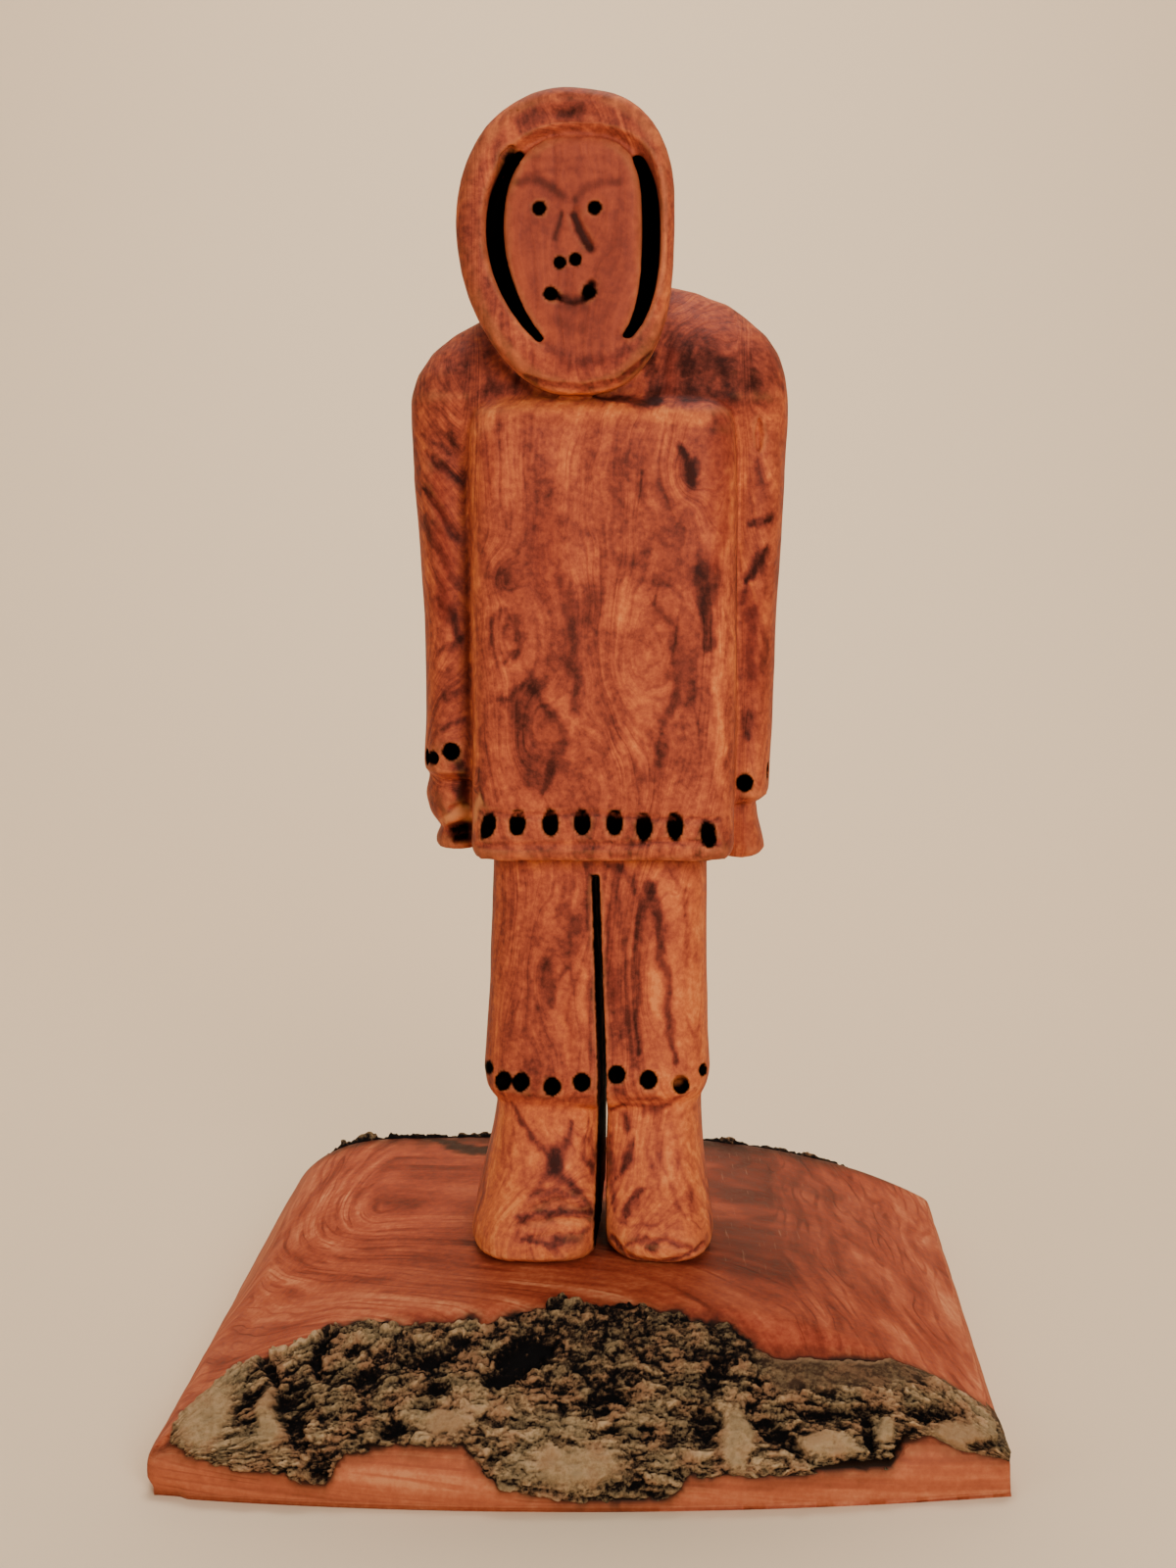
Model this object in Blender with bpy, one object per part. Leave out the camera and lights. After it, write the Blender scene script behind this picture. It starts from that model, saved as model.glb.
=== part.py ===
"""A carved driftwood figure in a hooded parka, standing on a live-edge slab that keeps its bark.

Two solids: carved_figure, cut from one block, and base_slab, sawn from a log that lay along X.
Lengths are written in millimetres and scaled to metres by MM. +Z is up, the figure faces -Y, and
the origin is the middle of the slab's underside.
"""

import math

import bmesh
import bpy
from mathutils import Matrix, Vector, noise

MM = 0.001

# Driving sizes, in millimetres
SLAB_LENGTH = 141.0  # along X, the log's own axis
SLAB_DEPTH = 141.0  # along Y, across the log, at the underside
SLAB_THICKNESS = 26.0
FIGURE_HEIGHT = 202.3  # from the slab's top to the top of the hood
FIGURE_X = -3.0  # the figure's own middle line stands this far off the slab's middle
REST_GAP = 0.3  # keeps the two solids apart where the soles stand on the slab

SOLE_Z = SLAB_THICKNESS + REST_GAP
HOOD_TOP_Z = SLAB_THICKNESS + FIGURE_HEIGHT

# The log's cut: the top falls away to the sawn ends, and the bark edges slope out to the underside
END_SKEW = 0.05  # the ends were sawn this far off square: X moved for each unit of Y
END_FALL = 19.5  # how far the top drops at the two ends
END_FALL_POWER = 3.2
STEEP_POWER = 8.5  # the back left corner falls later and more steeply
GENTLE_POWER = 2.3  # the back right corner falls sooner
TOP_FRONT_Y = -48.0
TOP_BACK_Y = 48.0
STRIP_HEIGHT = 5.5  # the sanded upright strip under the bark
EDGE_BOW = 5.5  # how far the underside's edges curve in at the corners
LOG_BULGE = 2.6  # the bark edge swells out by this between top and strip
BARK_DEPTH = 3.0
BARK_LUMP_MM = 9.0  # size of the bark's plates
SLAB_STATIONS = 33
EDGE_STEPS = 8

# Sections through the figure: (z, left x, right x, front y, back y)
TRUNK = (
    (98.0, -18.6, 26.6, -26.4, 14.4),
    (99.2, -19.4, 27.4, -27.3, 15.4),
    (122.0, -19.0, 27.6, -28.0, 15.8),
    (148.0, -19.1, 27.5, -28.2, 15.6),
    (166.0, -19.3, 27.3, -28.0, 15.2),
    (172.5, -19.2, 27.0, -27.4, 15.0),
    (175.6, -18.6, 26.4, -26.2, 14.6),
    (177.2, -17.4, 25.2, -24.0, 14.0),
    (179.0, -15.0, 22.0, -19.0, 11.0),
)
SHOULDERS = (
    (150.0, -28.0, 35.4, -15.0, 9.6),
    (160.0, -29.0, 36.2, -17.0, 11.4),
    (167.0, -29.8, 36.7, -18.6, 12.8),
    (173.0, -30.1, 36.9, -20.6, 13.6),
    (178.0, -30.0, 36.8, -22.0, 14.0),
    (182.0, -28.8, 36.3, -20.8, 13.6),
    (185.8, -26.2, 35.2, -18.6, 13.0),
    (189.0, -22.4, 33.2, -16.2, 12.2),
    (192.0, -16.8, 29.9, -13.6, 11.2),
    (194.6, -9.0, 26.4, -10.8, 10.0),
    (196.8, -1.0, 21.0, -8.0, 8.0),
    (197.8, 4.0, 16.0, -5.0, 5.0),
)
LEFT_SLEEVE = (
    (111.0, -27.0, -16.0, -15.6, 9.4),
    (112.4, -28.3, -16.0, -17.4, 11.4),
    (116.0, -28.3, -16.0, -17.6, 11.6),
    (122.0, -28.0, -16.0, -16.8, 11.0),
    (140.0, -28.1, -16.0, -17.0, 11.0),
    (152.0, -28.7, -16.0, -17.4, 11.4),
    (164.0, -29.6, -16.0, -17.9, 11.9),
    (173.0, -29.6, -16.0, -17.4, 11.4),
    (179.0, -26.0, -16.0, -13.0, 8.0),
)
RIGHT_SLEEVE = (
    (106.6, 24.0, 32.8, -15.4, 9.4),
    (108.0, 24.0, 34.2, -17.2, 11.4),
    (112.0, 24.0, 34.4, -17.6, 11.6),
    (120.0, 24.0, 34.8, -17.0, 11.0),
    (138.0, 24.0, 35.4, -17.2, 11.0),
    (152.0, 24.0, 36.0, -17.6, 11.4),
    (164.0, 24.0, 36.5, -18.0, 11.9),
    (173.0, 24.0, 36.4, -17.4, 11.4),
    (179.0, 24.0, 33.0, -13.0, 8.0),
)
LEFT_HAND = (
    (97.9, -26.2, -18.0, -12.6, 6.4),
    (98.9, -26.5, -17.6, -13.4, 7.2),
    (101.4, -25.3, -17.6, -13.6, 7.4),
    (104.0, -27.3, -17.6, -14.4, 8.0),
    (107.5, -28.2, -17.6, -14.8, 8.4),
    (111.0, -27.4, -17.6, -14.4, 8.0),
    (114.0, -26.5, -17.6, -13.8, 7.6),
)
RIGHT_HAND = (
    (96.4, 25.0, 32.6, -13.0, 6.8),
    (97.5, 25.0, 33.8, -14.0, 7.8),
    (99.2, 25.0, 33.4, -14.2, 8.0),
    (103.0, 25.0, 32.4, -14.0, 7.8),
    (107.0, 25.0, 32.0, -13.8, 7.6),
    (110.0, 25.0, 31.6, -13.6, 7.4),
)
TROUSERS = (
    (51.6, -14.8, 21.9, -19.4, 9.6),
    (53.0, -16.2, 22.8, -21.2, 11.4),
    (55.0, -17.3, 23.6, -22.4, 12.6),
    (58.0, -17.7, 23.9, -22.7, 12.9),
    (64.0, -17.3, 23.5, -22.3, 12.6),
    (74.0, -16.6, 23.2, -21.8, 12.2),
    (86.0, -16.1, 23.1, -21.5, 12.0),
    (97.0, -15.8, 23.0, -21.3, 11.8),
    (106.0, -15.4, 22.6, -20.0, 11.0),
)
LEFT_BOOT = (
    (SOLE_Z, -18.8, 3.4, -29.6, 13.2),
    (SOLE_Z + 1.2, -19.8, 4.2, -30.9, 14.4),
    (29.8, -19.8, 4.8, -30.6, 14.5),
    (32.6, -19.1, 5.0, -29.0, 14.2),
    (35.6, -18.3, 5.0, -26.6, 13.8),
    (39.0, -17.5, 5.0, -23.9, 13.3),
    (44.0, -16.3, 5.0, -21.9, 12.6),
    (49.0, -15.6, 5.0, -20.8, 11.8),
    (56.0, -15.4, 5.0, -20.2, 11.4),
)
RIGHT_BOOT = (
    (SOLE_Z, 5.4, 23.4, -29.0, 13.0),
    (SOLE_Z + 1.2, 4.2, 24.4, -30.3, 14.2),
    (29.8, 3.0, 24.4, -30.0, 14.3),
    (32.6, 2.4, 24.1, -28.5, 14.0),
    (35.6, 2.2, 23.7, -26.2, 13.6),
    (39.0, 2.2, 23.2, -23.6, 13.1),
    (44.0, 2.2, 22.8, -21.7, 12.5),
    (49.0, 2.2, 22.5, -20.7, 11.7),
    (56.0, 2.2, 22.3, -20.2, 11.3),
)

# An egg outline is (centre x, centre z, reach left, reach right, reach up, reach down), and its
# roundness is one power for each quarter: upper left, upper right, lower left, lower right.
RIM_EGG = (-2.1, HOOD_TOP_Z - 22.0, 18.7, 18.2, 22.0, 28.4)
RIM_ROUNDNESS = (2.1, 2.7, 1.9, 2.75)
OPENING_EGG = (-1.2, 204.2, 14.5, 14.5, 16.8, 20.2)
OPENING_ROUNDNESS = (2.2, 2.9, 1.7, 2.6)
FACE_EGG = (-1.2, 205.2, 11.5, 11.6, 15.0, 21.0)
FACE_ROUNDNESS = (2.4, 3.4, 1.7, 2.8)

RIM_FRONT_Y = -29.6
# (y, inset from the rim's outline, drop of the outline), from the rim back to the crown
HOOD_STATIONS = (
    (RIM_FRONT_Y, 2.2, 0.0),
    (RIM_FRONT_Y + 0.7, 0.9, 0.0),
    (RIM_FRONT_Y + 2.4, 0.1, 0.0),
    (RIM_FRONT_Y + 5.0, 0.0, 0.0),
    (RIM_FRONT_Y + 9.0, 0.5, 0.0),
    (-12.0, 1.1, 0.6),
    (-3.0, 1.8, 1.5),
    (4.5, 3.2, 2.5),
    (10.0, 5.8, 3.6),
    (13.4, 9.4, 4.6),
    (14.8, 13.2, 5.4),
)
OPENING_DEPTH_TOP = 2.4  # the hood's front is hollowed towards the forehead
OPENING_DEPTH_CHIN = 0.2
FACE_PROUD_TOP = 1.7  # how far the face stands out of that hollow
FACE_PROUD_CHIN = 0.1
SLOT_DEPTH = 10.0
LEFT_SLOT = ((217.8, 186.6), -1)  # from this height down to this one, on this side
RIGHT_SLOT = ((217.2, 187.2), 1)

# Face marks: drilled eyes and nostrils, a mouth of two pits, cut brows and nose lines
EYE_R = 1.0
EYES = ((-6.7, 208.4), (2.5, 208.5))
NOSTRIL_R = 0.9
NOSTRILS = ((-3.3, 199.6), (-0.7, 200.1))
MOUTH_CORNERS = ((-4.8, 194.5), (1.6, 194.8))
LINE_WIDTH = 1.3
FACE_LINES = (
    (0.25, ((-4.8, 194.5), (-3.5, 193.7), (-1.4, 193.2), (0.4, 193.7), (1.6, 195.0))),
    (0.35, ((-2.8, 208.0), (-3.3, 205.8), (-4.1, 203.4))),
    (0.65, ((-0.7, 208.8), (-0.1, 206.2), (2.2, 202.0))),
    (0.2, ((-10.6, 212.8), (-8.4, 213.2), (-6.4, 212.6), (-3.4, 210.6))),
    (0.2, ((-0.8, 210.2), (1.0, 211.6), (3.8, 212.9), (6.3, 213.0))),
)

# Drilled trim: (x, z) on the front, and how steeply the drill was held, in degrees below level
HEM_HOLE_R = 1.25
HEM_TILT = 52.0
HEM_DRILL_DEPTH = 5.0
HEM_HOLES = (
    (-16.0, 105.8),
    (-10.8, 104.9),
    (-5.1, 104.7),
    (0.4, 104.8),
    (6.0, 104.8),
    (11.1, 104.0),
    (16.5, 104.2),
    (22.3, 103.5),
)
HEM_BACK = (-15.0, 23.0, 105.2)  # the plainer row behind: first x, last x and z
HEM_BACK_COUNT = 7
LEG_HOLE_R = 1.4
LEG_TILT = 25.0
LEG_DRILL_DEPTH = 4.5
LEG_HOLES = (
    (-13.8, 57.9),
    (-10.6, 57.4),
    (-5.0, 56.4),
    (0.3, 57.2),
    (6.5, 58.6),
    (12.2, 57.7),
    (18.0, 57.0),
)
# Smaller holes at the hems' front corners: the point, and the way the drill went
LEG_CORNER_HOLE_R = 1.0
LEG_CORNER_HOLES = (
    ((-17.0, -20.9, 59.4), (0.1, 1.0, -0.2)),
    ((23.1, -20.9, 59.0), (-0.3, 1.0, -0.2)),
)
LEG_SIDE_Y = (-11.0, -2.0, 6.5)
LEG_SIDE_Z = 58.6
LEG_BACK_X = (-12.0, -5.0, 10.5, 17.5)
LEG_BACK_Z = 57.5
CUFF_HOLE_R = 1.4
CUFF_DRILL_DEPTH = 4.5
LEFT_CUFF_Z = 115.0
RIGHT_CUFF_Z = 111.0
CUFF_SIDE_Y = (1.5, 9.0)
# Holes at the cuffs' front corners: the point, and the way the drill went
CUFF_CORNER_HOLES = (
    ((-22.9, -17.4, 116.2), (0.25, 1.0, -0.15)),
    ((-27.2, -12.0, 114.6), (0.8, 0.8, -0.1)),
    ((29.2, -17.3, 110.6), (-0.1, 1.0, -0.15)),
    ((33.4, -12.0, 112.1), (-0.9, 0.6, -0.1)),
)

KERF_WIDTH = 1.25
KERF_SPREAD = 0.9  # how much wider the cut has worn at the boots' soles
KERF_TOP = (2.6, 94.5)  # x and z of the saw cut's top
KERF_FOOT_X = 3.6
KERF_SKEW = 0.05  # the saw ran this far off square: X moved for each unit of Y behind the legs' front


def clear_scene():
    for old in list(bpy.data.objects):
        bpy.data.objects.remove(old, do_unlink=True)


def wood(name, red, green, blue, roughness):
    """A Principled material of one wood colour, given in linear values."""
    made = bpy.data.materials.new(name)
    made.use_nodes = True
    shader = made.node_tree.nodes["Principled BSDF"]
    shader.inputs["Base Color"].default_value = (red, green, blue, 1.0)
    shader.inputs["Roughness"].default_value = roughness
    shader.inputs["Metallic"].default_value = 0.0
    return made


def signed_power(value, power):
    return math.copysign(abs(value) ** power, value)


def section(z, left, right, front, back, power, count):
    """A level ring of the rounded box between these sides."""
    ring = []
    for step in range(count):
        turn = 2 * math.pi * step / count
        across = signed_power(math.cos(turn), 2 / power)
        along = signed_power(math.sin(turn), 2 / power)
        x = (left + right) / 2 + (right - left) / 2 * across
        y = (front + back) / 2 + (back - front) / 2 * along
        ring.append(Vector((x, y, z)))
    return ring


def loft(name, rings):
    """A closed solid through rings of equal count, capped at both ends."""
    mesh = bmesh.new()
    rows = [[mesh.verts.new(point * MM) for point in ring] for ring in rings]
    count = len(rows[0])
    for lower, upper in zip(rows, rows[1:]):
        for step in range(count):
            after = (step + 1) % count
            mesh.faces.new((lower[step], lower[after], upper[after], upper[step]))
    mesh.faces.new(list(reversed(rows[0])))
    mesh.faces.new(rows[-1])
    bmesh.ops.recalc_face_normals(mesh, faces=mesh.faces)
    data = bpy.data.meshes.new(name)
    mesh.to_mesh(data)
    mesh.free()
    made = bpy.data.objects.new(name, data)
    bpy.context.scene.collection.objects.link(made)
    return made


def stack(name, stations, power, count):
    return loft(name, [section(*station, power, count) for station in stations])


def egg_point(egg, roundness, degrees, inset=0.0):
    """A point of an upright egg outline at this turn from +X, drawn in by inset."""
    middle_x, middle_z, left, right, up, down = egg
    across, rise = math.cos(math.radians(degrees)), math.sin(math.radians(degrees))
    power = roundness[(across >= 0) + (0 if rise >= 0 else 2)]
    reach_x = (right if across >= 0 else left) - inset
    reach_z = (up if rise >= 0 else down) - inset
    x = middle_x + reach_x * signed_power(across, 2 / power)
    z = middle_z + reach_z * signed_power(rise, 2 / power)
    return Vector((x, 0.0, z))


def egg_side(egg, roundness, z, side):
    """The x of an egg outline at this height, on the left for side -1 and on the right for 1."""
    middle_x, middle_z, left, right, up, down = egg
    power = roundness[(side > 0) + (0 if z >= middle_z else 2)]
    rise = min(1.0, abs(z - middle_z) / (up if z >= middle_z else down))
    return middle_x + side * (right if side > 0 else left) * (1 - rise**power) ** (1 / power)


def hood_ring(y, inset, drop, count=40):
    move = Vector((0.0, y, -drop))
    return [
        egg_point(RIM_EGG, RIM_ROUNDNESS, 360 * step / count, inset) + move for step in range(count)
    ]


def along_face(z, at_chin, at_top):
    """A value that runs evenly from the chin up to the forehead."""
    chin_z = FACE_EGG[1] - FACE_EGG[5]
    top_z = FACE_EGG[1] + FACE_EGG[4]
    return at_chin + (at_top - at_chin) * (z - chin_z) / (top_z - chin_z)


def hollow_y(z):
    """The floor of the hood's shallow front hollow."""
    return RIM_FRONT_Y + max(0.05, along_face(z, OPENING_DEPTH_CHIN, OPENING_DEPTH_TOP))


def face_y(z):
    """The flat of the face."""
    return hollow_y(z) - along_face(z, FACE_PROUD_CHIN, FACE_PROUD_TOP)


def make_opening():
    """The hollow in the hood's front, with sloping sides, fading out under the chin."""
    count = 36
    front, back = [], []
    for step in range(count):
        turn = 360 * step / count
        wide = egg_point(OPENING_EGG, OPENING_ROUNDNESS, turn, -1.6)
        near = egg_point(OPENING_EGG, OPENING_ROUNDNESS, turn, 0.4)
        wide.y = RIM_FRONT_Y - 1.0
        near.y = hollow_y(near.z)
        front.append(wide)
        back.append(near)
    return loft("opening_cutter", [front, back])


def make_face():
    """The face: a flat oval panel with a rounded edge, standing in the hood's hollow."""
    count = 30
    rings = []
    for inset, sink in ((0.0, 6.0), (0.0, 1.0), (0.3, 0.4), (1.0, 0.1), (2.6, 0.0)):
        ring = []
        for step in range(count):
            point = egg_point(FACE_EGG, FACE_ROUNDNESS, 360 * step / count, inset)
            point.y = face_y(point.z) + sink
            ring.append(point)
        rings.append(ring)
    return loft("face_panel", rings)


def make_slot(name, heights, side):
    """A deep crescent channel between the face's edge and the hood's hollow."""
    steps = 12
    inner, outer = [], []
    for step in range(steps + 1):
        z = heights[0] + (heights[1] - heights[0]) * step / steps
        inner.append(Vector((egg_side(FACE_EGG, FACE_ROUNDNESS, z, side), 0.0, z)))
        outer.append(Vector((egg_side(OPENING_EGG, OPENING_ROUNDNESS, z, side), 0.0, z)))
    outline = inner + list(reversed(outer))
    front = Vector((0.0, RIM_FRONT_Y - 3.0, 0.0))
    back = Vector((0.0, RIM_FRONT_Y + SLOT_DEPTH, 0.0))
    return loft(name, [[point + front for point in outline], [point + back for point in outline]])


def make_line(name, depth, points):
    """A V-shaped knife line on the face through these (x, z) points."""
    rings = []
    for step, (x, z) in enumerate(points):
        before, after = points[max(0, step - 1)], points[min(len(points) - 1, step + 1)]
        course = Vector((after[0] - before[0], 0.0, after[1] - before[1])).normalized()
        aside = Vector((course.z, 0.0, -course.x)) * LINE_WIDTH
        skin = Vector((x, face_y(z), z))
        out = Vector((0.0, depth, 0.0))
        rings.append([skin - out - aside, skin - out + aside, skin + out])
    return loft(name, rings)


def drill(mesh, start, direction, radius, depth):
    """Adds a drill's cylinder to mesh, from just outside start along direction."""
    sides = 10
    direction = direction.normalized()
    outside = 3 * radius
    middle = start + direction * (depth - outside) / 2
    turn = Vector((0.0, 0.0, 1.0)).rotation_difference(direction).to_matrix().to_4x4()
    bmesh.ops.create_cone(
        mesh,
        cap_ends=True,
        segments=sides,
        radius1=radius * MM,
        radius2=radius * MM,
        depth=(depth + outside) * MM,
        matrix=Matrix.Translation(middle * MM) @ turn,
    )


def drill_face(mesh):
    inward = Vector((0.0, 1.0, 0.0))
    for x, z in EYES + MOUTH_CORNERS:
        drill(mesh, Vector((x, face_y(z), z)), inward, EYE_R, 4.0)
    for x, z in NOSTRILS:
        drill(mesh, Vector((x, face_y(z), z)), inward, NOSTRIL_R, 4.0)


def drill_hems(mesh):
    """Rows of holes round the parka's hem and the trouser hems, drilled slanting down."""
    front_y, back_y = TRUNK[1][3], TRUNK[1][4]
    level, drop = math.cos(math.radians(HEM_TILT)), -math.sin(math.radians(HEM_TILT))
    for x, z in HEM_HOLES:
        start = Vector((x, front_y - 0.3, z + 0.6))
        drill(mesh, start, Vector((0.0, level, drop)), HEM_HOLE_R, HEM_DRILL_DEPTH)
    first_x, last_x, back_z = HEM_BACK
    for step in range(HEM_BACK_COUNT):
        x = first_x + (last_x - first_x) * step / (HEM_BACK_COUNT - 1)
        start = Vector((x, back_y, back_z))
        drill(mesh, start, Vector((0.0, -level, drop)), HEM_HOLE_R, HEM_DRILL_DEPTH)

    left_x, right_x, front_y, back_y = TROUSERS[3][1:]
    level, drop = math.cos(math.radians(LEG_TILT)), -math.sin(math.radians(LEG_TILT))
    for x, z in LEG_HOLES:
        start = Vector((x, front_y, z + 0.3))
        drill(mesh, start, Vector((0.0, level, drop)), LEG_HOLE_R, LEG_DRILL_DEPTH)
    for start, course in LEG_CORNER_HOLES:
        drill(mesh, Vector(start), Vector(course), LEG_CORNER_HOLE_R, LEG_DRILL_DEPTH)
    for x in LEG_BACK_X:
        start = Vector((x, back_y, LEG_BACK_Z))
        drill(mesh, start, Vector((0.0, -level, drop)), LEG_HOLE_R, LEG_DRILL_DEPTH)
    for y in LEG_SIDE_Y:
        for x, inward in ((left_x, level), (right_x, -level)):
            start = Vector((x, y, LEG_SIDE_Z))
            drill(mesh, start, Vector((inward, 0.0, drop)), LEG_HOLE_R, LEG_DRILL_DEPTH)


def drill_cuffs(mesh):
    """Holes round the two cuffs, four at their front corners and two on each outer side."""
    for start, course in CUFF_CORNER_HOLES:
        drill(mesh, Vector(start), Vector(course), CUFF_HOLE_R, CUFF_DRILL_DEPTH)
    for y in CUFF_SIDE_Y:
        left = Vector((LEFT_SLEEVE[2][1], y, LEFT_CUFF_Z))
        right = Vector((RIGHT_SLEEVE[2][2], y, RIGHT_CUFF_Z))
        drill(mesh, left, Vector((1.0, 0.0, 0.0)), CUFF_HOLE_R, CUFF_DRILL_DEPTH)
        drill(mesh, right, Vector((-1.0, 0.0, 0.0)), CUFF_HOLE_R, CUFF_DRILL_DEPTH)


def make_drills():
    mesh = bmesh.new()
    drill_face(mesh)
    drill_hems(mesh)
    drill_cuffs(mesh)
    data = bpy.data.meshes.new("drill_cutter")
    mesh.to_mesh(data)
    mesh.free()
    made = bpy.data.objects.new("drill_cutter", data)
    bpy.context.scene.collection.objects.link(made)
    return made


def make_kerf():
    """The saw cut that parts the two legs, from under the parka down to the boots."""
    top_x, top_z = KERF_TOP
    near_y, far_y = -40.0, 30.0
    legs_y = TROUSERS[3][3]
    near_x, far_x = KERF_SKEW * (near_y - legs_y), KERF_SKEW * (far_y - legs_y)
    rings = []
    for x, z, width in (
        (KERF_FOOT_X + 0.1, SOLE_Z - 3.0, KERF_WIDTH + KERF_SPREAD),
        (KERF_FOOT_X, 44.0, KERF_WIDTH + 0.4 * KERF_SPREAD),
        (KERF_FOOT_X + 0.3, 58.0, KERF_WIDTH + 0.2 * KERF_SPREAD),
        (top_x, top_z, KERF_WIDTH),
    ):
        rings.append(
            [
                Vector((x + near_x - width / 2, near_y, z)),
                Vector((x + near_x + width / 2, near_y, z)),
                Vector((x + far_x + width / 2, far_y, z)),
                Vector((x + far_x - width / 2, far_y, z)),
            ]
        )
    return loft("kerf_cutter", rings)


def combine(body, operation, tools):
    """Adds one live Boolean per tool, and hides the tools."""
    for tool in tools:
        change = body.modifiers.new(f"{operation.lower()}_{tool.name}", "BOOLEAN")
        change.operation = operation
        change.solver = "EXACT"
        change.object = tool
        tool.hide_render = True
        tool.display_type = "WIRE"


def make_figure(finish):
    figure = stack("carved_figure", TRUNK, 7.0, 36)
    blocks = [
        stack("shoulder_block", SHOULDERS, 4.0, 36),
        stack("left_sleeve", LEFT_SLEEVE, 2.8, 22),
        stack("right_sleeve", RIGHT_SLEEVE, 2.8, 22),
        stack("left_hand", LEFT_HAND, 2.4, 18),
        stack("right_hand", RIGHT_HAND, 2.4, 18),
        stack("trouser_block", TROUSERS, 4.2, 32),
        stack("left_boot", LEFT_BOOT, 3.2, 24),
        stack("right_boot", RIGHT_BOOT, 3.2, 24),
        loft("hood_block", [hood_ring(*station) for station in HOOD_STATIONS]),
    ]
    hollow, face = make_opening(), make_face()
    cuts = [make_slot("left_slot", *LEFT_SLOT), make_slot("right_slot", *RIGHT_SLOT)]
    cuts += [make_line(f"face_line_{n}", *line) for n, line in enumerate(FACE_LINES)]
    cuts += [make_kerf(), make_drills()]
    combine(figure, "UNION", blocks)
    combine(figure, "DIFFERENCE", [hollow])
    combine(figure, "UNION", [face])
    combine(figure, "DIFFERENCE", cuts)
    for piece in [figure, hollow, face] + blocks + cuts:
        piece.location.x = FIGURE_X * MM
    figure.data.materials.append(finish)
    return figure


def end_share(x):
    """How far this place lies from the slab's middle, as a share of half its length."""
    return abs(2 * x / SLAB_LENGTH)


def ease(share):
    """A smooth step from 0 to 1."""
    share = min(1.0, max(0.0, share))
    return share * share * (3 - 2 * share)


def slab_top_z(x, y):
    """The top's height: flat in the middle, falling away to the sawn ends."""
    back_power = STEEP_POWER if x < 0 else GENTLE_POWER
    power = END_FALL_POWER + (back_power - END_FALL_POWER) * ease((y + 30.0) / 80.0)
    return SLAB_THICKNESS - END_FALL * end_share(x) ** power


def bark_lump(x, y, z):
    """How far the bark stands out here, from deep cracks at 0 to full plates at 1."""
    spot = Vector((x / BARK_LUMP_MM, y / BARK_LUMP_MM * 1.6, z / BARK_LUMP_MM * 1.6))
    ridge = abs(noise.noise(spot)) * 2.2
    return min(1.0, 0.25 + ridge)


def edge_run(x, side):
    """One natural edge's profile at x, from the underside up to the slab's top."""
    foot_y = side * (SLAB_DEPTH / 2 - EDGE_BOW * end_share(x) ** 2)
    crest_y = TOP_FRONT_Y if side < 0 else TOP_BACK_Y
    full_rise = SLAB_THICKNESS - STRIP_HEIGHT
    crest_y = foot_y + (crest_y - foot_y) * (slab_top_z(x, crest_y) - STRIP_HEIGHT) / full_rise
    crest_z = slab_top_z(x, crest_y)
    strip_z = min(STRIP_HEIGHT, crest_z - 1.0)
    thickness = BARK_DEPTH * min(1.0, (crest_z - 4.0) / 8.0)
    run = [Vector((x, foot_y, 0.0)), Vector((x, foot_y, strip_z))]
    for step in range(1, EDGE_STEPS + 1):
        share = step / EDGE_STEPS
        swell = LOG_BULGE * 4 * share * (1 - share) * (crest_z - strip_z) / full_rise
        y = foot_y + (crest_y - foot_y) * share + side * swell
        z = strip_z + (crest_z - strip_z) * share
        cover = thickness * math.sin(math.pi * share) ** 0.5
        out = cover * (bark_lump(x, y, z) - 0.4) * 0.6
        y = max(-SLAB_DEPTH / 2, min(SLAB_DEPTH / 2, y + side * out))
        run.append(Vector((x, y, z + out)))
    return run


def make_slab(finish):
    """The slab, lofted along the log from one sawn end to the other."""
    rings = []
    for station in range(SLAB_STATIONS):
        x = SLAB_LENGTH * (station / (SLAB_STATIONS - 1) - 0.5)
        front, back = edge_run(x, -1), edge_run(x, 1)
        top = []
        for share in (0.25, 0.5, 0.75):
            y = front[-1].y + (back[-1].y - front[-1].y) * share
            top.append(Vector((x, y, slab_top_z(x, y))))
        ring = front + top + list(reversed(back))
        rings.append([point + Vector((END_SKEW * point.y, 0.0, 0.0)) for point in ring])
    slab = loft("base_slab", rings)
    slab.data.materials.append(finish)
    return slab


def main():
    clear_scene()
    make_slab(wood("slab_wood", 0.40, 0.11, 0.035, 0.5))
    make_figure(wood("figure_wood", 0.52, 0.16, 0.045, 0.45))


main()
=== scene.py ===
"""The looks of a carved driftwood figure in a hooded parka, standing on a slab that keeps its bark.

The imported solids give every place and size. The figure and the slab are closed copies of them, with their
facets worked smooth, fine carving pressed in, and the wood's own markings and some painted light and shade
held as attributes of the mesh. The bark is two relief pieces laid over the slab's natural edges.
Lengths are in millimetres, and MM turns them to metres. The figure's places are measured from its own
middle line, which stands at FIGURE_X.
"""

import math
import random

import bpy
import numpy as np
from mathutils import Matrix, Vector, noise
from mathutils.bvhtree import BVHTree


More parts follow.
